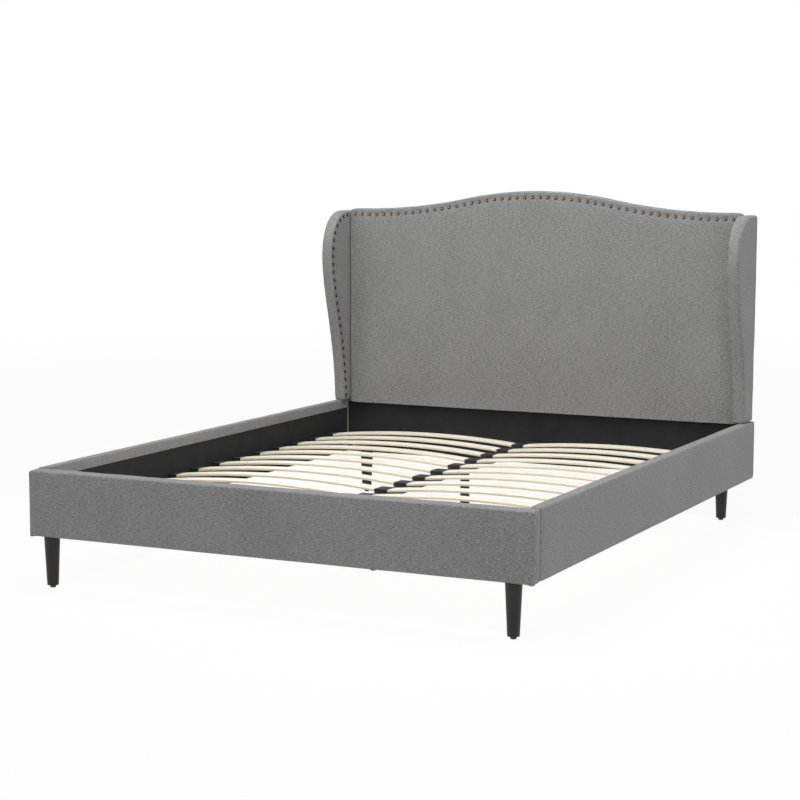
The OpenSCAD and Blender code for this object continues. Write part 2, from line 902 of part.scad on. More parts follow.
// Bolts through the footboard's side of the +X corner bracket
module foot_bracket_bolts(extra = 0, heads = false) {
  y1 = foot_back - skin_t + lining_t + bracket_t;
  for (z = bracket_bolt_z()) {
    y_pin(y1 - corner_bolt_l - extra, y1 + 0.5, bracket_bolt_x(), z, bolt_d + 2 * extra);
    if (heads) y_pin(y1, y1 + bolt_head_h, bracket_bolt_x(), z, bolt_head_d);
  }
}

// Bolts through the headboard's side of the +X corner bracket
module head_bracket_bolts(extra = 0, heads = false) {
  y0 = head_board_face - lining_t - bracket_t;
  for (z = bracket_bolt_z()) {
    y_pin(y0 - 0.5, y0 + corner_bolt_l + extra, bracket_bolt_x(), z, bolt_d + 2 * extra);
    if (heads) y_pin(y0 - bolt_head_h, y0, bracket_bolt_x(), z, bolt_head_d);
  }
}

// Steel angle in the corner of the +X rail and a wall at y0 that faces the given way
module corner_bracket(y0, way) {
  x1 = rail_in + skin_t - lining_t;
  translate([x1, y0, bracket_z])
  linear_extrude(bracket_h)
  mirror([1, 0]) scale([1, way]) union() {
    square([bracket_t, bracket_leg]);
    square([bracket_leg, bracket_t]);
  }
}

module corner_brackets() {
  color("#303030")
  both_sides() difference() {
    union() {
      corner_bracket(foot_back - skin_t + lining_t, 1);
      corner_bracket(head_board_face - lining_t, -1);
    }
    rail_bracket_bolts(clearance);
    foot_bracket_bolts(clearance);
    head_bracket_bolts(clearance);
  }
}

module corner_bolts() {
  color("silver")
  both_sides() {
    rail_bracket_bolts(0, true);
    foot_bracket_bolts(0, true);
    head_bracket_bolts(0, true);
  }
}

// Bolts that hold the +X wing to the headboard's side post
module wing_bolt_pins(extra = 0, heads = false) {
  x0 = cushion_half - side_wrap_t - head_batten_w;
  x1 = wing_in + wing_t / 2 + wing_board_t / 2 - 2;
  y = head_board_face + head_board_t + head_batten_t / 2;
  for (k = [0:2]) {
    z = wing_bottom + 100 + k * wing_bolt_rise;
    x_pin(x0 - 0.5, x1 + extra, y, z, bolt_d + 2 * extra);
    if (heads) x_pin(x0 - bolt_head_h, x0, y, z, bolt_head_d - 1);
  }
}

module wing_bolts() {
  color("silver") both_sides() wing_bolt_pins(0, true);
}

footboard_board();
footboard_battens();
footboard_cover();
footboard_lining();
mirror([1, 0, 0]) rail_board();  // left_rail_board
mirror([1, 0, 0]) rail_cover();  // left_rail_cover
mirror([1, 0, 0]) rail_lining();  // left_rail_lining
rail_board();  // right_rail_board
rail_cover();  // right_rail_cover
rail_lining();  // right_rail_lining
headboard_board();
headboard_battens();
headboard_cushion();
headboard_lining();
headboard_back_cloth();
headboard_nails();
mirror([1, 0, 0]) wing_board();  // left_wing_board
mirror([1, 0, 0]) wing_cover();  // left_wing_cover
mirror([1, 0, 0]) wing_nail_row();  // left_wing_nails
wing_board();  // right_wing_board
wing_cover();  // right_wing_cover
wing_nail_row();  // right_wing_nails
wing_bolts();
corner_leg(-half_w + front_leg_in, front_leg_y);  // front_left_leg
corner_leg(half_w - front_leg_in, front_leg_y);  // front_right_leg
corner_leg(-half_w + rear_leg_in, rear_leg_y);  // rear_left_leg
corner_leg(half_w - rear_leg_in, rear_leg_y);  // rear_right_leg
centre_leg(-centre_leg_apart);  // front_centre_leg
centre_leg(centre_leg_apart);  // rear_centre_leg
leg_glides();
leg_bolts();
mirror([1, 0, 0]) slat_ledger();  // left_slat_ledger
slat_ledger();  // right_slat_ledger
ledger_screws();
centre_rail();
centre_rail_hangers();
hanger_screws();
outer_slat_holders();
centre_slat_holders();
corner_brackets();
corner_bolts();
for (row = [1:slat_rows]) slat_pair(row);
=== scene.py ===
"""Looks of the upholstered bed: covers, linings, finishes and the studio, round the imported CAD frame."""

import json
import math

import bmesh
import bpy
from bpy.props import FloatProperty, FloatVectorProperty, IntProperty, PointerProperty
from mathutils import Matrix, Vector, noise
from mathutils.kdtree import KDTree

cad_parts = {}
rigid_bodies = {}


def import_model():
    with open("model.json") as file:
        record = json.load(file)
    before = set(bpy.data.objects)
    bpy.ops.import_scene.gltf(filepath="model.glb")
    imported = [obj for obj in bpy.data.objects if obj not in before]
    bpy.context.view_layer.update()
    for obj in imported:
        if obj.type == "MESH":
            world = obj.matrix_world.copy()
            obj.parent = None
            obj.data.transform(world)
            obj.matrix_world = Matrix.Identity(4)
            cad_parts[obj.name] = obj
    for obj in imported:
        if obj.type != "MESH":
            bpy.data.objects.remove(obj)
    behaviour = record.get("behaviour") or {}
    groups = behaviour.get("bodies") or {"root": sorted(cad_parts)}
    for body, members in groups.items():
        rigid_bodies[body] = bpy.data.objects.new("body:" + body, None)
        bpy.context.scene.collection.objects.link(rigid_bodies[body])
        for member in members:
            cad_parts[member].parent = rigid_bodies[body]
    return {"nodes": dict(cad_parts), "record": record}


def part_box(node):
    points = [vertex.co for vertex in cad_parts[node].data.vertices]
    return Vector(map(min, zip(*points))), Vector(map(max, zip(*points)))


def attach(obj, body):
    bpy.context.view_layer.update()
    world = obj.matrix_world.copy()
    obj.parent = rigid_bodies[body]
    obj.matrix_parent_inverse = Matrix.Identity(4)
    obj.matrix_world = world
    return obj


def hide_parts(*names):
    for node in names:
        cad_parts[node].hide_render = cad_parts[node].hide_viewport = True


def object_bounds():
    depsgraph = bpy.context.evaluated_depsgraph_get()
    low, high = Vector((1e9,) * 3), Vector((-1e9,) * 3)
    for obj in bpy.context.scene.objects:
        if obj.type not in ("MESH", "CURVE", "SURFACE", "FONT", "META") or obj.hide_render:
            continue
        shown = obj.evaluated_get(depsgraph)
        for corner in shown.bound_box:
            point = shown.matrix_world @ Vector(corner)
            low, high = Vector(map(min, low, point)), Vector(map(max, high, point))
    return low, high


bl_info = {
    "name": "Upholstered Bed",
    "version": (1, 0, 0),
    "blender": (4, 5, 0),
    "location": "View3D > Sidebar > Bed",
    "description": "Dresses the CAD frame of a winged, nailed fabric bed with its covers and finishes",
    "category": "Object",
}

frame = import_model()
SLOTS = {row["node"]: row["material_slot"] for row in frame["record"]["subparts"]}

# Boxes of the CAD solids that the soft pieces follow
CAD_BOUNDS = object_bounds()
FOOT_LOW, FOOT_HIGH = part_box("footboard_cover")
RAIL_LOW, RAIL_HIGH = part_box("right_rail_cover")
HEAD_LOW, HEAD_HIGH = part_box("headboard_cushion")
BACK_LOW, BACK_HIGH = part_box("headboard_back_cloth")
BED_BACK = CAD_BOUNDS[1].y
BOARD_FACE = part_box("headboard_board")[0].y

# Rise of the headboard's crown over its shoulders
SWEEP_RISE = 0.074

# Distance from a nail row in which the fabric can't swell, and reach of a nail's pull
NAIL_HOLD = 0.006
NAIL_PULL = 0.013

# How far the linings run on out of sight: the rails' to the rear, the headboard's behind its cushion
RAIL_TUCK = 0.005
HEAD_TUCK = 0.004


class BedShape(bpy.types.PropertyGroup):
    """Sizes of the soft pieces"""

    swell: FloatProperty(
        name="Swell",
        description="How far the foam may push the fabric out",
        default=0.0022,
        unit="LENGTH",
    )
    pressure: FloatProperty(
        name="Pressure",
        description="Pressure of the foam under the fabric in the cloth simulation",
        default=4.0,
    )
    frames: IntProperty(
        name="Frames",
        description="Length of the cloth simulation",
        default=20,
    )
    skin: FloatProperty(
        name="Skin",
        description="Thickness of the fabric with the foam's face behind it",
        default=0.0022,
        unit="LENGTH",
    )
    lip: FloatProperty(
        name="Lip",
        description="How far the grey cover comes down inside the recess",
        default=0.033,
        unit="LENGTH",
    )
    crown_radius: FloatProperty(
        name="Crown radius",
        description="Radius of the convex arc at the middle of the headboard's top",
        default=1.5,
        unit="LENGTH",
    )
    sweep_reach: FloatProperty(
        name="Sweep reach",
        description="Distance from the middle to where the sweep runs out into the shoulder",
        default=0.74,
        unit="LENGTH",
    )
    nail_drop: FloatProperty(
        name="Nail drop",
        description="Distance of the nail row below the headboard's top edge",
        default=0.023,
        unit="LENGTH",
    )
    rail_gap: FloatProperty(
        name="Rail gap",
        description="Open joint between the footboard's cover and each rail's cover",
        default=0.004,
        unit="LENGTH",
    )
    rail_rise: FloatProperty(
        name="Rail rise",
        description="How much higher each rail's top is along its inner edge",
        default=0.002,
        unit="LENGTH",
    )
    foot_slope: FloatProperty(
        name="Footboard slope",
        description="How much lower the footboard's top is along its front edge",
        default=0.003,
        unit="LENGTH",
    )
    rail_slope: FloatProperty(
        name="Rail slope",
        description="How much lower each rail's top is along its outer edge",
        default=0.002,
        unit="LENGTH",
    )
    side_gap: FloatProperty(
        name="Side gap",
        description="Slot between the headboard's front edge and each wing",
        default=0.0035,
        unit="LENGTH",
    )
    head_bulge: FloatProperty(
        name="Headboard bulge",
        description="How far the headboard's foam stands before its nailed rim",
        default=0.0025,
        unit="LENGTH",
    )
    dimple: FloatProperty(
        name="Dimple",
        description="How deep a nail pulls the fabric in",
        default=0.003,
        unit="LENGTH",
    )
    wing_foot_reach: FloatProperty(
        name="Wing foot reach",
        description="How far the wing's lower corner stands before the bed's back",
        default=0.104,
        unit="LENGTH",
    )
    wing_crest_reach: FloatProperty(
        name="Wing crest reach",
        description="How far the wing's level top reaches before the bed's back",
        default=0.055,
        unit="LENGTH",
    )
    wing_nose_drop: FloatProperty(
        name="Wing nose drop",
        description="Distance of the wing's foremost point below its top",
        default=0.181,
        unit="LENGTH",
    )
    wing_hem: FloatProperty(
        name="Wing hem",
        description="How far the wing's fabric hangs below its board's cover",
        default=0.002,
        unit="LENGTH",
    )
    wing_flare: FloatProperty(
        name="Wing flare",
        description="How much thicker the wing's padding is at the top of its back",
        default=0.004,
        unit="LENGTH",
    )
    wing_taper: FloatProperty(
        name="Wing taper",
        description="How much thinner the wing's padding is at its foremost point",
        default=0.0025,
        unit="LENGTH",
    )
    roll: FloatProperty(
        name="Roll",
        description="How far the wing's padded front edge swells over its nailed face",
        default=0.0025,
        unit="LENGTH",
    )
    seam: FloatProperty(
        name="Seam",
        description="Depth of the stitched line between the wing's front band and its outer panel",
        default=0.0018,
        unit="LENGTH",
    )
    pucker: FloatProperty(
        name="Pucker",
        description="Height of the small waves in the fabric along an edge",
        default=0.0011,
        unit="LENGTH",
    )


class BedColours(bpy.types.PropertyGroup):
    """Colours of the finishes, linear"""

    fabric_dark: FloatVectorProperty(
        name="Fabric, dark thread",
        description="Darkest grey of the heathered weave",
        default=(0.035, 0.035, 0.035),
        subtype="COLOR",
    )
    fabric_light: FloatVectorProperty(
        name="Fabric, light thread",
        description="Lightest grey of the heathered weave",
        default=(0.435, 0.435, 0.435),
        subtype="COLOR",
    )
    lining: FloatVectorProperty(
        name="Lining",
        description="Colour of the black non-woven lining",
        default=(0.013, 0.013, 0.0135),
        subtype="COLOR",
    )
    birch_face: FloatVectorProperty(
        name="Birch, face",
        description="Colour of the slats' lacquered faces",
        default=(0.94, 0.905, 0.82),
        subtype="COLOR",
    )
    birch_edge: FloatVectorProperty(
        name="Birch, edge",
        description="Colour of the slats' ply edges",
        default=(0.86, 0.77, 0.56),
        subtype="COLOR",
    )
    leg: FloatVectorProperty(
        name="Legs",
        description="Colour of the dark stained corner legs",
        default=(0.007, 0.0045, 0.004),
        subtype="COLOR",
    )
    # Colour of the nails' crowns, where wear and a highlight painted on by the normal make them bright
    brass: FloatVectorProperty(
        name="Nails",
        description="Colour of the antique nails where they are rubbed bright",
        default=(0.42, 0.33, 0.2),
        subtype="COLOR",
    )
    patina: FloatVectorProperty(
        name="Nails' patina",
        description="Colour of the antique nails round their rims",
        default=(0.036, 0.023, 0.01),
        subtype="COLOR",
    )


class BedView(bpy.types.PropertyGroup):
    """Camera at the photographed angle"""

    place: FloatVectorProperty(
        name="Place",
        description="Where the camera stands",
        default=(2.959, -6.185, 1.341),
        subtype="TRANSLATION",
        unit="LENGTH",
    )
    pitch: FloatProperty(
        name="Pitch",
        description="How far the camera looks down",
        default=math.radians(6.82),
        subtype="ANGLE",
    )
    turn: FloatProperty(
        name="Turn",
        description="How far the camera is turned to the left of the bed's length",
        default=math.radians(26.17),
        subtype="ANGLE",
    )
    lens: FloatProperty(
        name="Lens",
        description="Focal length on a 36 mm sensor, in millimetres",
        default=91.48,
    )


# Selection and editing


def focus(piece):
    """Selects one object alone and makes it active."""
    for other in bpy.context.view_layer.objects:
        other.select_set(False)
    piece.select_set(True)
    bpy.context.view_layer.objects.active = piece


def deselect_all():
    """Leaves nothing selected, because the loaded nodes start selected."""
    for other in bpy.context.view_layer.objects:
        other.select_set(False)
    bpy.context.view_layer.objects.active = None


def edit(piece, kind="VERT"):
    """Opens a piece in edit mode with nothing selected."""
    focus(piece)
    bpy.ops.object.mode_set(mode="EDIT")
    bpy.ops.mesh.select_mode(type=kind)
    bpy.ops.mesh.select_all(action="DESELECT")


def leave():
    bpy.ops.object.mode_set(mode="OBJECT")


def pick(piece, kind, test):
    """Selects the vertices, edges or faces of the edited piece that pass a test, and returns how many."""
    bpy.ops.mesh.select_mode(type=kind)
    bpy.ops.mesh.select_all(action="DESELECT")
    mesh = bmesh.from_edit_mesh(piece.data)
    parts = {"VERT": mesh.verts, "EDGE": mesh.edges, "FACE": mesh.faces}[kind]
    found = 0
    for part in parts:
        if test(part):
            part.select_set(True)
            found += 1
    mesh.select_flush_mode()
    bmesh.update_edit_mesh(piece.data)
    return found


def middle(edge):
    return (edge.verts[0].co + edge.verts[1].co) / 2


def runs_along(edge, axis, shortest):
    """True where an edge is parallel to an axis and at least so long."""
    span = edge.verts[1].co - edge.verts[0].co
    return abs(span[axis]) >= shortest and abs(span[axis]) > 0.999 * span.length


def near(a, b, by=1e-4):
    return abs(a - b) < by


def use_modifier(piece, kind, **settings):
    """Adds a modifier with its settings and applies it."""
    focus(piece)
    modifier = piece.modifiers.new(kind.title(), kind)
    for name, value in settings.items():
        setattr(modifier, name, value)
    bpy.ops.object.modifier_apply(modifier=modifier.name)


def add_box(name, low, high):
    """A box between two corners, with its place in its mesh."""
    deselect_all()
    low = Vector(low)
    high = Vector(high)
    bpy.ops.mesh.primitive_cube_add(size=1, location=(low + high) / 2)
    piece = bpy.context.active_object
    piece.scale = high - low
    bpy.ops.object.transform_apply(location=True, rotation=True, scale=True)
    piece.name = name
    piece.data.name = name
    return piece


def round_edges(piece, low, high, rounds):
    """Rounds edges of a box, each by its own radius.

    A key names an edge by the side that it lies on of each axis, with 0 for the axis it runs along.
    """
    centre = (Vector(low) + Vector(high)) / 2
    widest = max(rounds.values())
    edit(piece, "EDGE")
    for sides, radius in rounds.items():
        axis = sides.index(0)

        def lies_there(edge):
            off = middle(edge) - centre
            return runs_along(edge, axis, 1e-4) and all(
                off[k] * sides[k] > 0 for k in range(3) if k != axis
            )

        pick(piece, "EDGE", lies_there)
        bpy.ops.transform.edge_bevelweight(value=radius / widest)
    leave()
    use_modifier(
        piece,
        "BEVEL",
        width=widest,
        segments=4,
        limit_method="WEIGHT",
        profile=0.5,
        use_clamp_overlap=True,
    )


def cut_along(piece, axis, cuts, shortest):
    """Cuts the edges that run along an axis into equal lengths, as a row of loop cuts does."""
    pick(piece, "EDGE", lambda edge: runs_along(edge, axis, shortest))
    bpy.ops.mesh.subdivide(number_cuts=cuts)


def slice_at(plane_point, plane_normal):
    """Cuts the whole edited mesh along a plane."""
    bpy.ops.mesh.select_all(action="SELECT")
    bpy.ops.mesh.bisect(plane_co=plane_point, plane_no=plane_normal)


# Fabric over foam


def hold_group(piece, is_held):
    """Names the points that are stapled or nailed down."""
    group = piece.vertex_groups.new(name="held")
    held = [v.index for v in piece.data.vertices if is_held(v.co)]
    group.add(held, 1.0, "REPLACE")
    return group


def puff(piece, is_held, limit=None):
    """Lets the foam swell the fabric between its staples, by a cloth simulation with a capped travel."""
    shape = bpy.context.scene.bed_shape
    limit = shape.swell if limit is None else limit
    group = hold_group(piece, is_held)
    start = [v.co.copy() for v in piece.data.vertices]
    normals = [v.normal.copy() for v in piece.data.vertices]
    focus(piece)
    modifier = piece.modifiers.new("Cloth", "CLOTH")
    cloth = modifier.settings
    cloth.quality = 5
    cloth.mass = 0.3
    cloth.tension_stiffness = 15
    cloth.compression_stiffness = 15
    cloth.bending_stiffness = 0.5
    cloth.use_pressure = True
    cloth.uniform_pressure_force = shape.pressure
    cloth.vertex_group_mass = group.name
    cloth.effector_weights.gravity = 0
    modifier.collision_settings.use_collision = False
    modifier.point_cache.frame_start = 1
    modifier.point_cache.frame_end = shape.frames
    for step in range(1, shape.frames + 1):
        bpy.context.scene.frame_set(step)
    bpy.ops.object.modifier_apply(modifier=modifier.name)
    bpy.context.scene.frame_set(1)
    for vertex, origin, normal in zip(piece.data.vertices, start, normals):
        travel = vertex.co - origin
        rise = travel.dot(normal)
        if rise < 0:
            travel -= normal * rise
        if travel.length > limit:
            travel *= limit / travel.length
        vertex.co = origin + travel
    piece.vertex_groups.remove(piece.vertex_groups["held"])


def wave(piece, height, size, weight):
    """Adds small waves to the fabric along its normals, weighted by place."""
    normals = [v.normal.copy() for v in piece.data.vertices]
    for vertex, normal in zip(piece.data.vertices, normals):
        share = weight(vertex.co, normal)
        if share > 0:
            lift = noise.noise(Vector((vertex.co.x / size[0], vertex.co.y / size[1], vertex.co.z / size[2])))
            vertex.co += normal * (height * share * lift)


def press_in(piece, points, reach, depth, faces_it):
    """Presses the fabric in round points, such as nails or a seam's stitches."""
    tree = KDTree(len(points))
    for index, point in enumerate(points):
        tree.insert(point, index)
    tree.balance()
    moves = []
    for vertex in piece.data.vertices:
        if not faces_it(vertex.normal):
            continue
        _, _, distance = tree.find(vertex.co)
        if distance < reach:
            moves.append((vertex, vertex.normal * (-depth * (1 - (distance / reach) ** 2) ** 2)))
    for vertex, move in moves:
        vertex.co += move


def stitch(piece, depth, share_of):
    """Sinks the fabric along a stitched line, now deeper, now shallower. A negative depth lifts it."""
    sunk = [vertex.normal * share_of(vertex.normal) for vertex in piece.data.vertices]
    for vertex, direction in zip(piece.data.vertices, sunk):
        pull = 0.75 + noise.noise(vertex.co / 0.012)
        vertex.co -= direction * (depth * pull)


def slope_top(piece, top, share_of, rise, fall):
    """Lifts the top of a padded board, and lets it fall to the edge where the cover is drawn tight."""
    soft_depth = 0.04
    for vertex in piece.data.vertices:
        height = min(1.0, max(0.0, 1 - (top - vertex.co.z) / soft_depth))
        vertex.co.z += height * (rise - fall * share_of(vertex.co))


def tug(piece, points, reach, move):
    """Draws the fabric out to a small point, such as the fold at a corner."""
    for vertex in piece.data.vertices:
        nearest = min((vertex.co - point).length for point in points)
        if nearest < reach:
            vertex.co += Vector(move) * (1 - nearest / reach) ** 1.5


def nail_places(node):
    """Middle of each nail's flat back, read from the nails' own solids."""
    mesh = bmesh.new()
    mesh.from_mesh(frame["nodes"][node].data)
    bmesh.ops.remove_doubles(mesh, verts=mesh.verts, dist=1e-5)
    mesh.verts.index_update()
    seen = set()
    places = []
    for start in mesh.verts:
        if start.index in seen:
            continue
        seen.add(start.index)
        island = [start]
        for vertex in island:
            for edge in vertex.link_edges:
                other = edge.other_vert(vertex)
                if other.index not in seen:
                    seen.add(other.index)
                    island.append(other)
        low = Vector([min(v.co[k] for v in island) for k in range(3)])
        high = Vector([max(v.co[k] for v in island) for k in range(3)])
        places.append((low + high) / 2)
    mesh.free()
    return places


def smooth(piece, angle=40):
    focus(piece)
    bpy.ops.object.shade_smooth_by_angle(angle=math.radians(angle))


def lay_weave(piece):
    """Gives the piece a map in metres, face by face, that the weave follows."""
    focus(piece)
    while piece.data.uv_layers:
        piece.data.uv_layers.remove(piece.data.uv_layers[0])
    piece.data.uv_layers.new(name="weave")
    bpy.ops.object.mode_set(mode="EDIT")
    bpy.ops.mesh.select_all(action="SELECT")
    bpy.ops.uv.cube_project(cube_size=1.0, correct_aspect=False, scale_to_bounds=False)
    leave()


def settle(piece, material, slot, *nodes):
    """Finishes a piece: its material, its body and the nodes that it stands for. The slot argument is not
    used.
    """
    piece.data.materials.clear()
    piece.data.materials.append(material)
    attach(piece, "root")
    if nodes:
        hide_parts(*nodes)


def finish_cover(piece, node):
    """Last steps of a fabric cover: weave map, smooth faces, finish and the solid that it replaces."""
    lay_weave(piece)
    smooth(piece, 60)
    settle(piece, finish("grey_fabric"), "grey_fabric", node)


def thicken(piece):
    """Gives an open cover the thickness of its fabric and the foam's face."""
    shape = bpy.context.scene.bed_shape
    use_modifier(piece, "SOLIDIFY", thickness=shape.skin, offset=-1, use_even_offset=True)


# Materials


def new_material(name):
    material = bpy.data.materials.new(name)
    material.use_nodes = True
    nodes = material.node_tree.nodes
    nodes.clear()
    output = nodes.new("ShaderNodeOutputMaterial")
    shader = nodes.new("ShaderNodeBsdfPrincipled")
    material.node_tree.links.new(shader.outputs["BSDF"], output.inputs["Surface"])
    return material, shader


class Wiring:
    """Short names for adding nodes to one material."""

    def __init__(self, material):
        self.tree = material.node_tree

    def link(self, source, target):
        self.tree.links.new(source, target)

    def add(self, kind, **settings):
        node = self.tree.nodes.new(kind)
        for name, value in settings.items():
            setattr(node, name, value)
        return node

    def place(self):
        return self.add("ShaderNodeTexCoord").outputs["Object"]

    def stretched(self, source, scale):
        """Coordinates scaled along each axis."""
        mapping = self.add("ShaderNodeMapping")
        mapping.inputs["Scale"].default_value = scale
        self.link(source, mapping.inputs["Vector"])
        return mapping.outputs["Vector"]

    def noise(self, source, scale, detail=2.0, roughness=0.5):
        texture = self.add("ShaderNodeTexNoise")
        texture.inputs["Scale"].default_value = scale
        texture.inputs["Detail"].default_value = detail
        texture.inputs["Roughness"].default_value = roughness
        self.link(source, texture.inputs["Vector"])
        return texture.outputs["Fac"]

    def bands(self, source, direction, scale):
        texture = self.add("ShaderNodeTexWave", wave_type="BANDS", bands_direction=direction)
        texture.inputs["Scale"].default_value = scale
        self.link(source, texture.inputs["Vector"])
        return texture.outputs["Fac"]

    def math(self, operation, a, b):
        node = self.add("ShaderNodeMath", operation=operation)
        for socket, value in zip(node.inputs, (a, b)):
            if isinstance(value, (int, float)):
                socket.default_value = value
            else:
                self.link(value, socket)
        return node.outputs[0]

    def fit(self, value, low, high, out_low=0.0, out_high=1.0):
        """Maps a range of values to another."""
        node = self.add("ShaderNodeMapRange")
        node.inputs["From Min"].default_value = low
        node.inputs["From Max"].default_value = high
        node.inputs["To Min"].default_value = out_low
        node.inputs["To Max"].default_value = out_high
        self.link(value, node.inputs["Value"])
        return node.outputs["Result"]

    def blend(self, factor, dark, light):
        """Mixes two colours, each a tuple or another node's output."""
        node = self.add("ShaderNodeMix", data_type="RGBA")
        self.link(factor, node.inputs["Factor"])
        for socket, colour in ((node.inputs[6], dark), (node.inputs[7], light)):
            if isinstance(colour, bpy.types.NodeSocket):
                self.link(colour, socket)
            else:
                socket.default_value = (*tuple(colour)[:3], 1.0)
        return node.outputs[2]

    def bump(self, height, strength, distance, shader):
        node = self.add("ShaderNodeBump")
        node.inputs["Strength"].default_value = strength
        node.inputs["Distance"].default_value = distance
        self.link(height, node.inputs["Height"])
        self.link(node.outputs["Normal"], shader.inputs["Normal"])


def grey_fabric():
    """Heathered linen look: short streaks along the weft, weaker ones along the warp, and long slubs."""
    colours = bpy.context.scene.bed_colours
    material, shader = new_material("grey_fabric")
    w = Wiring(material)
    weave = w.add("ShaderNodeUVMap", uv_map="weave").outputs["UV"]
    weft = w.noise(w.stretched(weave, (110, 700, 1)), 1.0, 2.0, 0.5)
    warp = w.noise(w.stretched(weave, (700, 150, 1)), 1.0, 1.0, 0.5)
    weft_slubs = w.noise(w.stretched(weave, (30, 400, 1)), 1.0, 2.0, 0.6)
    warp_slubs = w.noise(w.stretched(weave, (400, 30, 1)), 1.0, 2.0, 0.6)
    cloud = w.noise(w.place(), 5.0, 2.0, 0.5)
    streaks = w.math("ADD", weft, w.math("MULTIPLY", warp, 0.3))
    slubs = w.math("ADD", w.math("MULTIPLY", weft_slubs, 0.3), w.math("MULTIPLY", warp_slubs, 0.12))
    streaks = w.math("ADD", streaks, slubs)
    mottled = w.math("ADD", streaks, w.math("MULTIPLY", cloud, 0.08))
    tone = w.fit(mottled, 0.575, 1.245)
    w.link(w.blend(tone, colours.fabric_dark, colours.fabric_light), shader.inputs["Base Color"])
    threads = w.math("ADD", w.bands(weave, "X", 210.0), w.bands(weave, "Y", 210.0))
    relief = w.math("ADD", w.math("MULTIPLY", threads, 0.3), w.math("MULTIPLY", streaks, 0.6))
    w.bump(relief, 0.55, 0.0009, shader)
    shader.inputs["Roughness"].default_value = 0.95
    shader.inputs["Specular IOR Level"].default_value = 0.25
    shader.inputs["Sheen Weight"].default_value = 0.12
    shader.inputs["Sheen Roughness"].default_value = 0.5
    return material


def black_lining():
    """Thin non-woven cloth with a faint fibrous mottle."""
    colours = bpy.context.scene.bed_colours
    material, shader = new_material("black_lining")
    w = Wiring(material)
    fibre = w.noise(w.place(), 420.0, 4.0, 0.65)
    cloud = w.noise(w.place(), 18.0, 3.0, 0.6)
    tone = w.fit(w.math("ADD", fibre, cloud), 0.7, 1.3)
    lighter = tuple(1.7 * c for c in colours.lining)
    w.link(w.blend(tone, colours.lining, lighter), shader.inputs["Base Color"])
    w.bump(fibre, 0.4, 0.0005, shader)
    shader.inputs["Roughness"].default_value = 0.9
    shader.inputs["Specular IOR Level"].default_value = 0.25
    return material


def wood_grain(name, dark, light, along, roughness, ring_scale=40.0):
    """Wood with a straight grain along one axis, fine pores and a slow change of tone."""
    material, shader = new_material(name)
    w = Wiring(material)
    place = w.place()
    stretch = [ring_scale] * 3
    stretch[along] = 2.0
    pores = [900.0] * 3
    pores[along] = 16.0
    figure = w.noise(w.stretched(place, stretch), 1.0, 5.0, 0.6)
    pore = w.noise(w.stretched(place, pores), 1.0, 2.0, 0.6)
    cloud = w.noise(place, 2.2, 2.0, 0.5)
    mixed = w.math("ADD", w.math("MULTIPLY", figure, 0.9), w.math("MULTIPLY", pore, 0.35))
    mixed = w.math("ADD", mixed, w.math("MULTIPLY", cloud, 0.35))
    tone = w.fit(mixed, 0.55, 1.05)
    w.link(w.blend(tone, dark, light), shader.inputs["Base Color"])
    w.bump(pore, 0.25, 0.0004, shader)
    w.link(w.fit(pore, 0.3, 0.7, roughness - 0.06, roughness + 0.06), shader.inputs["Roughness"])
    return material


def birch_slats():
    """Lacquered birch faces with warmer ply layers on the edges."""
    colours = bpy.context.scene.bed_colours
    material, shader = new_material("birch")
    w = Wiring(material)
    coordinates = w.add("ShaderNodeTexCoord")
    place = coordinates.outputs["Object"]
    grain = w.noise(w.stretched(place, (3.0, 150.0, 150.0)), 1.0, 4.0, 0.6)
    flecks = w.noise(w.stretched(place, (40.0, 700.0, 700.0)), 1.0, 2.0, 0.5)
    board = w.noise(w.stretched(place, (0.6, 7.0, 0.0)), 1.0, 0.0, 0.5)
    face_mix = w.math("ADD", w.math("MULTIPLY", grain, 0.7), w.math("MULTIPLY", flecks, 0.3))
    face_mix = w.math("ADD", face_mix, w.math("MULTIPLY", board, 0.5))
    face_tone = w.fit(face_mix, 0.5, 0.95)
    face_dark = tuple(c * f for c, f in zip(colours.birch_face, (0.9, 0.86, 0.78)))
    face = w.blend(face_tone, face_dark, colours.birch_face)
    layers = w.bands(place, "Z", 105.0)
    edge_dark = tuple(c * f for c, f in zip(colours.birch_edge, (0.84, 0.81, 0.76)))
    edge = w.blend(w.fit(layers, 0.35, 0.65), edge_dark, colours.birch_edge)
    split = w.add("ShaderNodeSeparateXYZ")
    w.link(coordinates.outputs["Normal"], split.inputs["Vector"])
    upright = w.math("ABSOLUTE", split.outputs["Z"], 0.0)
    w.link(w.blend(w.fit(upright, 0.55, 0.85), edge, face), shader.inputs["Base Color"])
    w.bump(grain, 0.12, 0.0003, shader)
    shader.inputs["Roughness"].default_value = 0.42
    shader.inputs["Coat Weight"].default_value = 0.25
    shader.inputs["Coat Roughness"].default_value = 0.3
    return material


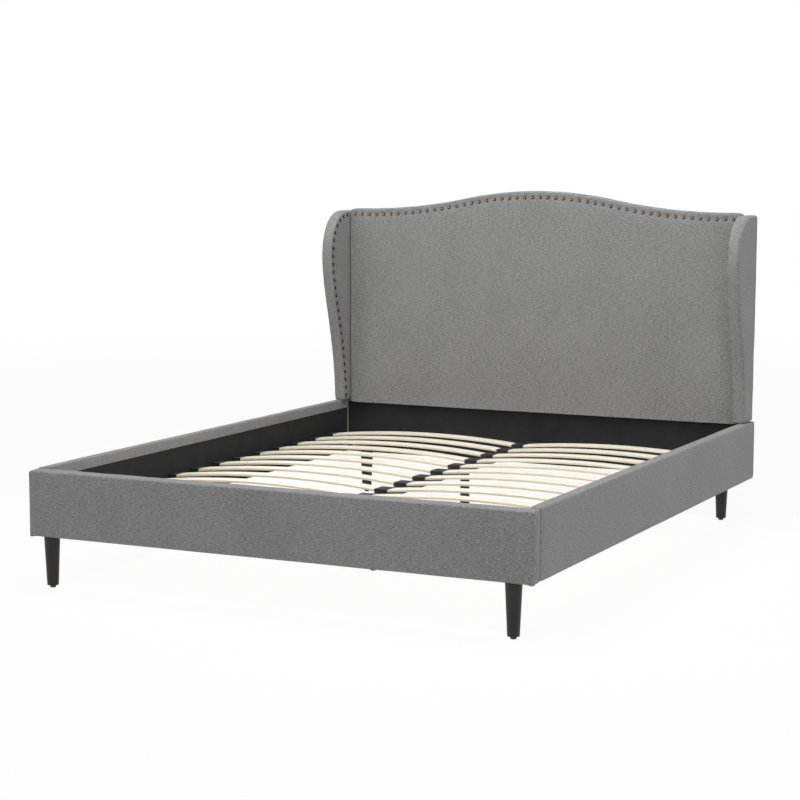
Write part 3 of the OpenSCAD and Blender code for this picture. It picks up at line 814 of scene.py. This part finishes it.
def antique_brass():
    """Aged brass: bright on the crown, from wear and a highlight painted on by the normal, dark round the
    rim and in the hammered hollows.
    """
    colours = bpy.context.scene.bed_colours
    material, shader = new_material("antique_brass")
    w = Wiring(material)
    split = w.add("ShaderNodeSeparateXYZ")
    w.link(w.add("ShaderNodeTexCoord").outputs["Normal"], split.inputs["Vector"])
    across = w.math("ABSOLUTE", split.outputs["X"], 0.0)
    forward = w.math("ABSOLUTE", split.outputs["Y"], 0.0)
    # Painted highlight as well as wear: where the normal points along the nail, the crown takes the bright
    # brass colour
    crown = w.fit(w.math("MAXIMUM", across, forward), 0.85, 0.97)
    patina = w.noise(w.place(), 420.0, 3.0, 0.6)
    bright = w.math("MULTIPLY", crown, w.fit(patina, 0.3, 0.6, 0.6, 1.0))
    w.link(w.blend(bright, colours.patina, colours.brass), shader.inputs["Base Color"])
    w.bump(patina, 0.3, 0.0006, shader)
    w.link(w.fit(bright, 0.0, 0.5, 0.15, 1.0), shader.inputs["Metallic"])
    w.link(w.fit(bright, 0.0, 0.8, 0.75, 0.3), shader.inputs["Roughness"])
    shader.inputs["Specular IOR Level"].default_value = 0.15
    return material


def moulded_plastic(name, colour, roughness):
    """Moulded plastic with the faint orange peel of its tool."""
    material, shader = new_material(name)
    w = Wiring(material)
    peel = w.noise(w.place(), 650.0, 2.0, 0.5)
    cloud = w.noise(w.place(), 30.0, 2.0, 0.5)
    lighter = tuple(1.5 * c for c in colour)
    w.link(w.blend(w.fit(cloud, 0.3, 0.7), colour, lighter), shader.inputs["Base Color"])
    w.bump(peel, 0.2, 0.0003, shader)
    w.link(w.fit(peel, 0.3, 0.7, roughness - 0.05, roughness + 0.05), shader.inputs["Roughness"])
    return material


def coated_steel():
    """Black powder coat with its fine texture."""
    material, shader = new_material("black_steel")
    w = Wiring(material)
    grit = w.noise(w.place(), 1500.0, 2.0, 0.6)
    cloud = w.noise(w.place(), 12.0, 2.0, 0.5)
    coat = w.blend(w.fit(cloud, 0.3, 0.7), (0.012, 0.012, 0.012), (0.02, 0.02, 0.021))
    w.link(coat, shader.inputs["Base Color"])
    w.bump(grit, 0.35, 0.0004, shader)
    shader.inputs["Roughness"].default_value = 0.5
    return material


def zinc_steel():
    """Zinc plate with its soft spangle and turned brightness."""
    material, shader = new_material("zinc_steel")
    w = Wiring(material)
    spangle = w.noise(w.place(), 260.0, 3.0, 0.55)
    plate = w.blend(w.fit(spangle, 0.35, 0.65), (0.42, 0.43, 0.45), (0.62, 0.62, 0.6))
    w.link(plate, shader.inputs["Base Color"])
    shader.inputs["Metallic"].default_value = 1.0
    w.link(w.fit(spangle, 0.3, 0.7, 0.28, 0.42), shader.inputs["Roughness"])
    w.bump(spangle, 0.15, 0.0003, shader)
    return material


def dark_leg():
    colour = bpy.context.scene.bed_colours.leg
    light = tuple(2.2 * c for c in colour)
    material = wood_grain("dark_wood", colour, light, 2, 0.5, 160.0)
    shader = next(n for n in material.node_tree.nodes if n.type == "BSDF_PRINCIPLED")
    shader.inputs["Specular IOR Level"].default_value = 0.38
    return material


MAKERS = {
    "grey_fabric": grey_fabric,
    "black_lining": black_lining,
    "dust_cloth": black_lining,
    "plywood": lambda: wood_grain("plywood", (0.4, 0.31, 0.21), (0.6, 0.49, 0.35), 1, 0.7),
    "pine": lambda: wood_grain("pine", (0.42, 0.28, 0.14), (0.64, 0.47, 0.27), 0, 0.7),
    "birch": birch_slats,
    "dark_wood": dark_leg,
    "antique_brass": antique_brass,
    "black_plastic": lambda: moulded_plastic("black_plastic", (0.014, 0.014, 0.014), 0.45),
    "glide_plastic": lambda: moulded_plastic("glide_plastic", (0.03, 0.027, 0.024), 0.55),
    "black_steel": coated_steel,
    "zinc_steel": zinc_steel,
}


def finish(slot):
    """The material of a slot, made when it is first asked for."""
    made = bpy.data.materials.get(slot)
    if made is None or not made.get("bed_finish"):
        made = MAKERS[slot]()
        made.name = slot
        made["bed_finish"] = True
    return made


def dress_node(name):
    """Gives a CAD node that stays the finish of its record slot."""
    node = frame["nodes"][name]
    node.data.materials.clear()
    node.data.materials.append(finish(SLOTS[name]))


# Operators, one for each group of pieces


class BED_OT_footboard(bpy.types.Operator):
    """Make the padded footboard cover"""

    bl_idname = "bed.footboard"
    bl_label = "Footboard cover"

    def execute(self, context):
        shape = context.scene.bed_shape
        inset = 0.5 * shape.swell
        low = FOOT_LOW + Vector((inset, inset, 0))
        high = FOOT_HIGH - Vector((inset, 0, 0.4 * inset))
        lip_z = FOOT_HIGH.z - shape.lip
        rail_in = RAIL_LOW.x
        piece = add_box("footboard_upholstery", low, high)
        rounds = {
            (0, -1, 1): 0.006,
            (0, 1, 1): 0.006,
            (0, -1, -1): 0.005,
            (-1, -1, 0): 0.009,
            (1, -1, 0): 0.009,
            (-1, 1, 0): 0.006,
            (1, 1, 0): 0.006,
            (-1, 0, 1): 0.012,
            (1, 0, 1): 0.008,
            (-1, 0, -1): 0.004,
            (1, 0, -1): 0.004,
        }
        round_edges(piece, low, high, rounds)
        edit(piece)
        slice_at((0, 0, lip_z), (0, 0, 1))
        slice_at((rail_in, 0, 0), (1, 0, 0))
        slice_at((-rail_in, 0, 0), (1, 0, 0))
        pick(
            piece,
            "FACE",
            lambda f: f.normal.y > 0.9
            and f.calc_center_median().z < lip_z
            and abs(f.calc_center_median().x) < rail_in,
        )
        bpy.ops.mesh.delete(type="FACE")
        cut_along(piece, 0, 113, 0.2)
        cut_along(piece, 2, 11, 0.1)
        cut_along(piece, 1, 2, 0.02)
        leave()

        def is_held(p):
            at_back = near(p.y, high.y, 0.003) and p.z < lip_z + 0.001
            return at_back or near(p.z, low.z, 0.001) or near(p.z, high.z, 0.001)

        puff(piece, is_held)
        use_modifier(piece, "SUBSURF", levels=1, render_levels=1)
        wave(
            piece,
            shape.pucker,
            (0.045, 0.05, 0.06),
            lambda p, n: max(0.0, 1 - (high.z - p.z) / 0.05),
        )
        wave(piece, 0.5 * shape.pucker, (0.16, 0.2, 0.12), lambda p, n: 1.0)
        slope_top(piece, high.z, lambda p: (high.y - p.y) / (high.y - low.y), 0.0, shape.foot_slope)
        fold_in = 0.006
        fold_reach = 0.022
        fold_drop = 0.004
        folds = [Vector((x, low.y + fold_in, low.z)) for x in (low.x + fold_in, high.x - fold_in)]
        tug(piece, folds, fold_reach, (0, 0, -fold_drop))
        thicken(piece)
        finish_cover(piece, "footboard_cover")
        return {"FINISHED"}


def rail_cover(side):
    """Cover of one side rail: a long padded channel, open to the lining below its lip."""
    shape = bpy.context.scene.bed_shape
    node = side + "_rail_cover"
    out = 1 if side == "right" else -1
    low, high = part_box(node)
    inset = 0.5 * shape.swell
    low, high = low.copy(), high.copy()
    if out > 0:
        high.x -= inset
    else:
        low.x += inset
    low.y += shape.rail_gap
    lip_z = RAIL_HIGH.z - shape.lip
    inner_x = low.x if out > 0 else high.x
    piece = add_box(side + "_rail_upholstery", low, high)
    rounds = {
        (out, 0, 1): 0.006,
        (-out, 0, 1): 0.004,
        (out, 0, -1): 0.005,
        (out, 1, 0): 0.005,
        (0, 1, 1): 0.005,
        (out, -1, 0): 0.006,
        (0, -1, 1): 0.006,
    }
    round_edges(piece, low, high, rounds)
    edit(piece)
    slice_at((0, 0, lip_z), (0, 0, 1))
    pick(
        piece,
        "FACE",
        lambda f: f.normal.x * out < -0.9 and f.calc_center_median().z < lip_z,
    )
    bpy.ops.mesh.delete(type="FACE")
    cut_along(piece, 1, 139, 0.2)
    cut_along(piece, 2, 11, 0.1)
    cut_along(piece, 0, 1, 0.012)
    leave()

    def is_held(p):
        at_lip = near(p.x, inner_x, 0.003) and p.z < lip_z + 0.001
        at_end = p.y > high.y - 0.001 or p.y < low.y + 0.001
        return at_lip or at_end or near(p.z, low.z, 0.001) or near(p.z, high.z, 0.001)

    puff(piece, is_held)
    use_modifier(piece, "SUBSURF", levels=1, render_levels=1)
    wave(
        piece,
        0.6 * shape.pucker,
        (0.05, 0.07, 0.06),
        lambda p, n: max(0.0, 1 - (high.z - p.z) / 0.04),
    )
    wave(piece, 0.5 * shape.pucker, (0.2, 0.22, 0.12), lambda p, n: 1.0)

    def outward(p):
        return (p.x - inner_x) / (high.x - low.x) * out

    slope_top(piece, high.z, outward, shape.rail_rise, shape.rail_slope)
    thicken(piece)
    finish_cover(piece, node)


class BED_OT_rails(bpy.types.Operator):
    """Make the padded covers of both side rails"""

    bl_idname = "bed.rails"
    bl_label = "Rail covers"

    def execute(self, context):
        rail_cover("left")
        rail_cover("right")
        return {"FINISHED"}


def sweep_turn(shape):
    """Angle that each arc of the headboard's top turns through."""
    return 2 * math.atan(SWEEP_RISE / shape.sweep_reach)


def hollow_radius(shape):
    return SWEEP_RISE / (1 - math.cos(sweep_turn(shape))) - shape.crown_radius


def pick_end(piece):
    """Selects the point of an open line that lies farthest along X."""
    mesh = bmesh.from_edit_mesh(piece.data)
    end = max(v.co.x for v in mesh.verts)
    pick(piece, "VERT", lambda v: near(v.co.x, end, 1e-6))


def run_line(piece, distance, steps):
    """Extends an open line along X in equal steps."""
    for _ in range(steps):
        pick_end(piece)
        bpy.ops.mesh.extrude_region_move(TRANSFORM_OT_translate={"value": (distance / steps, 0, 0)})


def spin_line(piece, centre, angle, steps):
    """Extends an open line round an arc of the headboard. The operator turns by minus its angle."""
    pick_end(piece)
    bpy.ops.mesh.spin(steps=steps, angle=-angle, center=centre, axis=(0, 1, 0))


def sweep_line(name, half, y, shoulder, drop=0.0, step=0.0155):
    """Open line along the headboard's top: shoulder, hollow arc, crown, hollow arc, shoulder."""
    shape = bpy.context.scene.bed_shape
    turn = sweep_turn(shape)
    hollow = hollow_radius(shape)
    crown = shape.crown_radius - drop
    deselect_all()
    bpy.ops.mesh.primitive_plane_add(size=0.01, location=(-half, y, shoulder - drop))
    piece = bpy.context.active_object
    bpy.ops.object.transform_apply(location=True, rotation=True, scale=True)
    piece.name = name
    piece.data.name = name
    edit(piece)
    bpy.ops.mesh.select_all(action="SELECT")
    bpy.ops.mesh.merge(type="CENTER")
    reach = shape.sweep_reach
    hollow_steps = round(turn * hollow / step)
    crown_steps = 2 * round(turn * crown / step)
    run_line(piece, half - reach, round((half - reach) / step))
    spin_line(piece, (-reach, y, shoulder + hollow), -turn, hollow_steps)
    crown_z = shoulder + SWEEP_RISE - shape.crown_radius
    spin_line(piece, (0, y, crown_z), 2 * turn, crown_steps)
    spin_line(piece, (reach, y, shoulder + hollow), -turn, hollow_steps)
    run_line(piece, half - reach, round((half - reach) / step))
    bpy.ops.mesh.select_all(action="SELECT")
    bpy.ops.mesh.remove_doubles(threshold=1e-5)
    return piece


def hang_sheet(piece, bottom, rows, top_rows=()):
    """Draws the line down by each top row and then to a level bottom edge, and cuts that face into rows."""
    bpy.ops.mesh.select_all(action="SELECT")
    for drop in top_rows:
        bpy.ops.mesh.extrude_region_move(TRANSFORM_OT_translate={"value": (0, 0, -drop)})
    bpy.ops.mesh.extrude_region_move(TRANSFORM_OT_translate={"value": (0, 0, -0.01)})
    bpy.ops.transform.resize(value=(1, 1, 0), center_override=(0, 0, bottom))
    cut_along(piece, 2, rows - 1, 0.1)


class BED_OT_headboard(bpy.types.Operator):
    """Make the padded headboard with its camel-back top and the pull of its nails"""

    bl_idname = "bed.headboard"
    bl_label = "Headboard cover"

    def execute(self, context):
        shape = context.scene.bed_shape
        inset = 0.5 * shape.swell
        front = HEAD_LOW.y + shape.head_bulge
        back = HEAD_HIGH.y
        side_play = 0.001
        half = HEAD_HIGH.x - side_play
        bottom = HEAD_LOW.z
        shoulder = HEAD_HIGH.z - SWEEP_RISE
        corner_round = 0.011
        rim_round = 0.0085
        side_rim_share = 0.3
        rim_reach = 0.02
        piece = sweep_line("headboard_upholstery", half, front, shoulder, drop=inset)
        hang_sheet(piece, bottom, 52, (shape.nail_drop / 2, shape.nail_drop / 2))
        bpy.ops.mesh.select_all(action="SELECT")
        bpy.ops.mesh.region_to_loop()
        bpy.ops.mesh.extrude_region_move(TRANSFORM_OT_translate={"value": (0, back - front, 0)})
        pick(
            piece,
            "EDGE",
            lambda e: runs_along(e, 1, 0.03)
            and near(abs(middle(e).x), half)
            and near(middle(e).z, shoulder - inset, 0.001),
        )
        bpy.ops.mesh.bevel(offset=corner_round, segments=3, affect="EDGES")
        mesh = bmesh.from_edit_mesh(piece.data)
        rim = {
            e.index
            for e in mesh.edges
            if near(e.verts[0].co.y, front)
            and near(e.verts[1].co.y, front)
            and any(abs(f.normal.y) < 0.3 for f in e.link_faces)
        }
        pick(piece, "EDGE", lambda e: e.index in rim and middle(e).z > shoulder - rim_reach)
        bpy.ops.transform.edge_bevelweight(value=1.0)
        pick(piece, "EDGE", lambda e: e.index in rim and middle(e).z <= shoulder - rim_reach)
        bpy.ops.transform.edge_bevelweight(value=side_rim_share)
        cut_along(piece, 1, 2, 0.03)
        bpy.ops.mesh.select_all(action="SELECT")
        bpy.ops.mesh.normals_make_consistent(inside=False)
        leave()
        for vertex in piece.data.vertices:
            beside = max(0.0, 1 - (half - abs(vertex.co.x)) / rim_reach)
            forward = max(0.0, (BOARD_FACE - vertex.co.y) / (BOARD_FACE - front))
            vertex.co.x -= math.copysign(shape.side_gap * beside * forward, vertex.co.x)
        use_modifier(
            piece, "BEVEL", width=rim_round, segments=4, limit_method="WEIGHT", use_clamp_overlap=True
        )
        nails = nail_places("headboard_nails")
        steps = 8
        row = KDTree(len(nails) * steps)
        for index in range((len(nails) - 1) * steps):
            share = (index % steps) / steps
            a = nails[index // steps]
            b = nails[index // steps + 1]
            row.insert(a.lerp(b, share), index)
        row.balance()

        def is_held(p):
            if p.y > back - 0.001:
                return True
            if p.y > front + 0.001:
                return False
            return row.find(Vector((p.x, nails[0].y, p.z)))[2] < NAIL_HOLD

        puff(piece, is_held, shape.head_bulge)
        use_modifier(piece, "SUBSURF", levels=1, render_levels=1)
        pulls = [Vector((nail.x, front, nail.z)) for nail in nails]
        press_in(piece, pulls, NAIL_PULL, shape.dimple, lambda n: n.y < -0.8)
        fixed_back = back - 0.004
        wave(piece, 0.7 * shape.pucker, (0.3, 0.3, 0.2), lambda p, n: 1.0 if p.y < fixed_back else 0.0)
        wave(
            piece,
            0.5 * shape.pucker,
            (0.03, 0.03, 0.05),
            lambda p, n: 1.0 if n.z > 0.3 and p.y < fixed_back else 0.0,
        )
        thicken(piece)
        finish_cover(piece, "headboard_cushion")
        return {"FINISHED"}


def wing_outline_curve(side, inset):
    """Filled curve of one wing's outline with a rounded rim, turned to stand beside the headboard."""
    shape = bpy.context.scene.bed_shape
    low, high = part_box(side + "_wing_cover")
    back = high.y + inset
    top = high.z
    bottom = low.z - inset - shape.wing_hem
    foot_y = BED_BACK - shape.wing_foot_reach
    nose = Vector((low.y, top - shape.wing_nose_drop))
    crest = Vector((BED_BACK - shape.wing_crest_reach, top))
    rise = nose.y - bottom
    fall = top - nose.y
    rim = 0.008
    deselect_all()
    bpy.ops.curve.primitive_bezier_curve_add()
    piece = bpy.context.active_object
    curve = piece.data
    spline = curve.splines[0]
    spline.bezier_points.add(3)
    above_foot = Vector((foot_y - 0.006, bottom + 0.46 * rise))
    below_nose = nose - Vector((0, 0.26 * rise))
    above_nose = nose + Vector((0, 0.55 * fall))
    before_crest = crest - Vector((0.107, 0))
    # Each corner with the handles before and after it
    corners = [
        (Vector((foot_y, bottom)), None, above_foot),
        (nose, below_nose, above_nose),
        (crest, before_crest, None),
        (Vector((back, top)), None, None),
        (Vector((back, bottom)), None, None),
    ]
    for point, (place, before, after) in zip(spline.bezier_points, corners):
        point.handle_left_type = "VECTOR" if before is None else "FREE"
        point.handle_right_type = "VECTOR" if after is None else "FREE"
        point.co = (*place, 0)
        point.handle_left = (*(place if before is None else before), 0)
        point.handle_right = (*(place if after is None else after), 0)
    spline.use_cyclic_u = True
    curve.resolution_u = 14
    curve.dimensions = "2D"
    curve.fill_mode = "BOTH"
    curve.bevel_depth = rim
    curve.bevel_resolution = 3
    curve.offset = -rim - inset
    curve.extrude = (high.x - low.x) / 2 - rim - inset
    piece.location = ((high.x + low.x) / 2, 0, 0)
    piece.rotation_euler = (math.radians(90), 0, math.radians(90))
    focus(piece)
    bpy.ops.object.convert(target="MESH")
    bpy.ops.object.transform_apply(location=True, rotation=True, scale=True)
    return bpy.context.active_object


def wing_cover(side):
    """Padded wing: a closed slab with a soft rim, pulled in by its nails and its outer panel's seam."""
    shape = bpy.context.scene.bed_shape
    out = 1 if side == "right" else -1
    node = side + "_wing_cover"
    low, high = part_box(node)
    piece = wing_outline_curve(side, 0.5 * shape.swell)
    piece.name = side + "_wing_upholstery"
    piece.data.name = piece.name
    edit(piece)
    bpy.ops.mesh.select_all(action="SELECT")
    bpy.ops.mesh.remove_doubles(threshold=1e-5)
    bpy.ops.mesh.normals_make_consistent(inside=False)
    leave()
    cell = 0.006
    stapled = 0.004
    piece.data.remesh_voxel_size = cell
    bpy.ops.object.voxel_remesh()
    puff(piece, lambda p: p.y > high.y - stapled or p.z < low.z + stapled)
    use_modifier(piece, "SUBSURF", levels=1, render_levels=1)
    nails = nail_places(side + "_wing_nails")
    press_in(piece, nails, NAIL_PULL, shape.dimple, lambda n: n.x * out < -0.7)

    def outer_seam(normal):
        share = max(0.0, 1 - ((normal.x * out - 0.72) / 0.2) ** 2)
        return share if normal.y < -0.2 else 0.0

    def inner_roll(normal):
        share = max(0.0, 1 - ((normal.x * out + 0.75) / 0.4) ** 2)
        return share * min(1.0, max(0.0, (-normal.y - 0.05) / 0.2))

    stitch(piece, shape.seam, outer_seam)
    stitch(piece, -shape.roll, inner_roll)
    wave(piece, 0.6 * shape.pucker, (0.12, 0.12, 0.12), lambda p, n: 1.0)
    inner = low.x if out > 0 else high.x
    for vertex in piece.data.vertices:
        rise = (vertex.co.z - low.z) / (high.z - low.z)
        forward = (high.y - vertex.co.y) / (high.y - low.y)
        thicker = shape.wing_flare * rise * (1 - forward) - shape.wing_taper * forward
        vertex.co.x += thicker * (vertex.co.x - inner) / (high.x - low.x)
    finish_cover(piece, node)


class BED_OT_wings(bpy.types.Operator):
    """Make both padded wings"""

    bl_idname = "bed.wings"
    bl_label = "Wing covers"

    def execute(self, context):
        wing_cover("left")
        wing_cover("right")
        return {"FINISHED"}


def lining_sheet(name, node, low, high, face, cuts):
    """Thin cloth stapled flat, with slack ripples that stay behind its face."""
    axis = 0 if abs(face[0]) > 0.5 else 1
    along = 1 - axis
    piece = add_box(name, low, high)
    edit(piece)
    pick(piece, "FACE", lambda f: f.normal[axis] * face[axis] < 0.9)
    bpy.ops.mesh.delete(type="FACE")
    cut_along(piece, along, cuts, 0.3)
    cut_along(piece, 2, 7, 0.1)
    leave()
    direction = Vector(face)
    hem = 0.02
    slack = 0.0006
    thickness = 0.0005
    for vertex in piece.data.vertices:
        p = vertex.co
        ripple = noise.noise(Vector((p[along] / 0.16, p.z / 0.07, 1.7)))
        edge = min(1.0, (p.z - low[2]) / hem, (high[2] - p.z) / hem)
        vertex.co -= direction * (slack * edge * (0.5 + 0.5 * ripple))
    use_modifier(piece, "SOLIDIFY", thickness=thickness, offset=-1)
    smooth(piece)
    slot = SLOTS[node]
    settle(piece, finish(slot), slot, node)


class BED_OT_linings(bpy.types.Operator):
    """Make the black linings of the recess and the cloth on the headboard's back"""

    bl_idname = "bed.linings"
    bl_label = "Linings and back cloth"

    def execute(self, context):
        for side, out in (("left", -1), ("right", 1)):
            low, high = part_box(side + "_rail_lining")
            high = high + Vector((0, RAIL_TUCK, 0))
            lining_sheet(side + "_rail_lining_sheet", side + "_rail_lining", low, high, (-out, 0, 0), 79)
        low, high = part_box("footboard_lining")
        lining_sheet("footboard_lining_sheet", "footboard_lining", low, high, (0, 1, 0), 63)
        low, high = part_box("headboard_lining")
        high = high + Vector((0, 0, HEAD_TUCK))
        lining_sheet("headboard_lining_sheet", "headboard_lining", low, high, (0, -1, 0), 63)
        back_cloth()
        return {"FINISHED"}


def back_cloth():
    """Dust cloth stapled to the headboard's back, cut to the camel-back outline."""
    half = BACK_HIGH.x
    shoulder = BACK_HIGH.z - SWEEP_RISE
    piece = sweep_line("headboard_back_sheet", half, BACK_LOW.y, shoulder, step=0.03)
    hang_sheet(piece, BACK_LOW.z, 30)
    leave()
    low_z = BACK_LOW.z
    hem = 0.08
    slack = 0.00035
    thickness = 0.0004
    for vertex in piece.data.vertices:
        p = vertex.co
        edge = min(1.0, (half - abs(p.x)) / hem, (p.z - low_z) / hem, (shoulder - p.z) / hem)
        ripple = noise.noise(Vector((p.x / 0.2, p.z / 0.25, 4.2)))
        vertex.co.y += slack * max(0.0, edge) * ripple
    use_modifier(piece, "SOLIDIFY", thickness=thickness, offset=1)
    smooth(piece)
    settle(piece, finish("dust_cloth"), "dust_cloth", "headboard_back_cloth")
    mesh = bmesh.new()
    mesh.from_mesh(piece.data)
    area = sum(f.calc_area() for f in mesh.faces if f.normal.y > 0.9)
    mesh.free()


class BED_OT_finishes(bpy.types.Operator):
    """Give every CAD node that stays its wood, metal or plastic finish"""

    bl_idname = "bed.finishes"
    bl_label = "Finishes of the hard parts"

    def execute(self, context):
        for name, node in frame["nodes"].items():
            if not node.hide_render:
                dress_node(name)
        return {"FINISHED"}


# Studio


def area_light(name, place, target, size, power):
    """Soft rectangular lamp aimed at a point."""
    data = bpy.data.lights.new(name, "AREA")
    data.shape = "RECTANGLE"
    data.size = size[0]
    data.size_y = size[1]
    data.energy = power
    lamp = bpy.data.objects.new(name, data)
    bpy.context.scene.collection.objects.link(lamp)
    lamp.location = place
    lamp.rotation_euler = (Vector(target) - Vector(place)).to_track_quat("-Z", "Y").to_euler()


def shown_rays(w):
    """1 where the camera, a reflection or a transmission looks, 0 where light is gathered."""
    path = w.add("ShaderNodeLightPath")
    looked = w.math("MAXIMUM", path.outputs["Is Camera Ray"], path.outputs["Is Glossy Ray"])
    return w.math("MAXIMUM", looked, path.outputs["Is Transmission Ray"])


def floor_material():
    """Pale floor that shows almost white and keeps a soft shadow."""
    material, shader = new_material("studio_floor")
    shader.inputs["Base Color"].default_value = (0.86, 0.86, 0.86, 1)
    shader.inputs["Roughness"].default_value = 1.0
    shader.inputs["Specular IOR Level"].default_value = 0.0
    w = Wiring(material)
    glow = w.add("ShaderNodeEmission")
    glow.inputs["Strength"].default_value = 1.0
    mix = w.add("ShaderNodeMixShader")
    distance = w.add("ShaderNodeVectorMath", operation="LENGTH")
    w.link(w.place(), distance.inputs[0])
    whiteness = w.fit(distance.outputs["Value"], 2.5, 9.0, 0.92, 1.0)
    w.link(w.math("MULTIPLY", shown_rays(w), whiteness), mix.inputs["Fac"])
    w.link(shader.outputs["BSDF"], mix.inputs[1])
    w.link(glow.outputs["Emission"], mix.inputs[2])
    output = next(n for n in material.node_tree.nodes if n.type == "OUTPUT_MATERIAL")
    w.link(mix.outputs["Shader"], output.inputs["Surface"])
    return material


class BED_OT_stage(bpy.types.Operator):
    """Make the floor, the soft studio light, the white surround and the camera"""

    bl_idname = "bed.stage"
    bl_label = "Stage, light and camera"

    def execute(self, context):
        scene = context.scene
        deselect_all()
        bpy.ops.mesh.primitive_plane_add(size=60)
        floor = bpy.context.active_object
        floor.name = "floor"
        floor.data.materials.append(floor_material())
        world = bpy.data.worlds.new("studio")
        scene.world = world
        world.use_nodes = True
        w = Wiring(world)
        world.node_tree.nodes.clear()
        output = w.add("ShaderNodeOutputWorld")
        ambient = w.add("ShaderNodeBackground")
        ambient.inputs["Strength"].default_value = 0.15
        white = w.add("ShaderNodeBackground")
        white.inputs["Strength"].default_value = 1.0
        white.inputs["Color"].default_value = (1, 1, 1, 1)
        ambient.inputs["Color"].default_value = (1, 1, 1, 1)
        mix = w.add("ShaderNodeMixShader")
        w.link(shown_rays(w), mix.inputs["Fac"])
        w.link(ambient.outputs["Background"], mix.inputs[1])
        w.link(white.outputs["Background"], mix.inputs[2])
        w.link(mix.outputs["Shader"], output.inputs["Surface"])
        area_light("top_light", (0.2, -0.6, 4.2), (0, 0.1, 0.4), (3.6, 4.0), 112)
        area_light("head_light", (0.0, -0.2, 3.2), (0, 0.9, 0.6), (3.0, 1.6), 39)
        area_light("foot_light", (0.6, -3.0, 4.0), (0, 0.5, 0.5), (3.6, 2.0), 38)
        area_light("front_light", (4.0, -4.2, 2.4), (0.2, 0.6, 0.7), (1.0, 1.0), 30)
        area_light("right_light", (5.0, 3.0, 2.0), (0.8, 0.5, 0.5), (2.5, 2.5), 75)
        area_light("left_light", (-4.5, -4.0, 2.6), (0, 0.2, 0.6), (2.5, 2.5), 60)
        view = scene.bed_view
        camera = bpy.data.cameras.new("camera")
        camera.lens = view.lens
        camera.sensor_width = 36
        camera.sensor_fit = "HORIZONTAL"
        camera.clip_end = 100
        eye = bpy.data.objects.new("camera", camera)
        scene.collection.objects.link(eye)
        eye.location = view.place
        eye.rotation_euler = (math.radians(90) - view.pitch, 0, view.turn)
        scene.camera = eye
        scene.view_settings.view_transform = "Standard"
        return {"FINISHED"}


class BED_PT_panel(bpy.types.Panel):
    """Steps of dressing the bed, in order"""

    bl_label = "Upholstered Bed"
    bl_idname = "BED_PT_panel"
    bl_space_type = "VIEW_3D"
    bl_region_type = "UI"
    bl_category = "Bed"

    def draw(self, context):
        for operator in OPERATORS:
            self.layout.operator(operator.bl_idname)
        for group in (context.scene.bed_shape, context.scene.bed_colours, context.scene.bed_view):
            box = self.layout.box()
            for name in group.__annotations__:
                box.prop(group, name)


OPERATORS = (
    BED_OT_footboard,
    BED_OT_rails,
    BED_OT_headboard,
    BED_OT_wings,
    BED_OT_linings,
    BED_OT_finishes,
    BED_OT_stage,
)
CLASSES = (BedShape, BedColours, BedView, *OPERATORS, BED_PT_panel)


def register():
    for entry in CLASSES:
        bpy.utils.register_class(entry)
    bpy.types.Scene.bed_shape = PointerProperty(type=BedShape)
    bpy.types.Scene.bed_colours = PointerProperty(type=BedColours)
    bpy.types.Scene.bed_view = PointerProperty(type=BedView)


def unregister():
    del bpy.types.Scene.bed_view
    del bpy.types.Scene.bed_colours
    del bpy.types.Scene.bed_shape
    for entry in reversed(CLASSES):
        bpy.utils.unregister_class(entry)


def main():
    register()
    bpy.ops.bed.footboard()
    bpy.ops.bed.rails()
    bpy.ops.bed.headboard()
    bpy.ops.bed.wings()
    bpy.ops.bed.linings()
    bpy.ops.bed.finishes()
    bpy.ops.bed.stage()


if __name__ == "__main__":
    main()
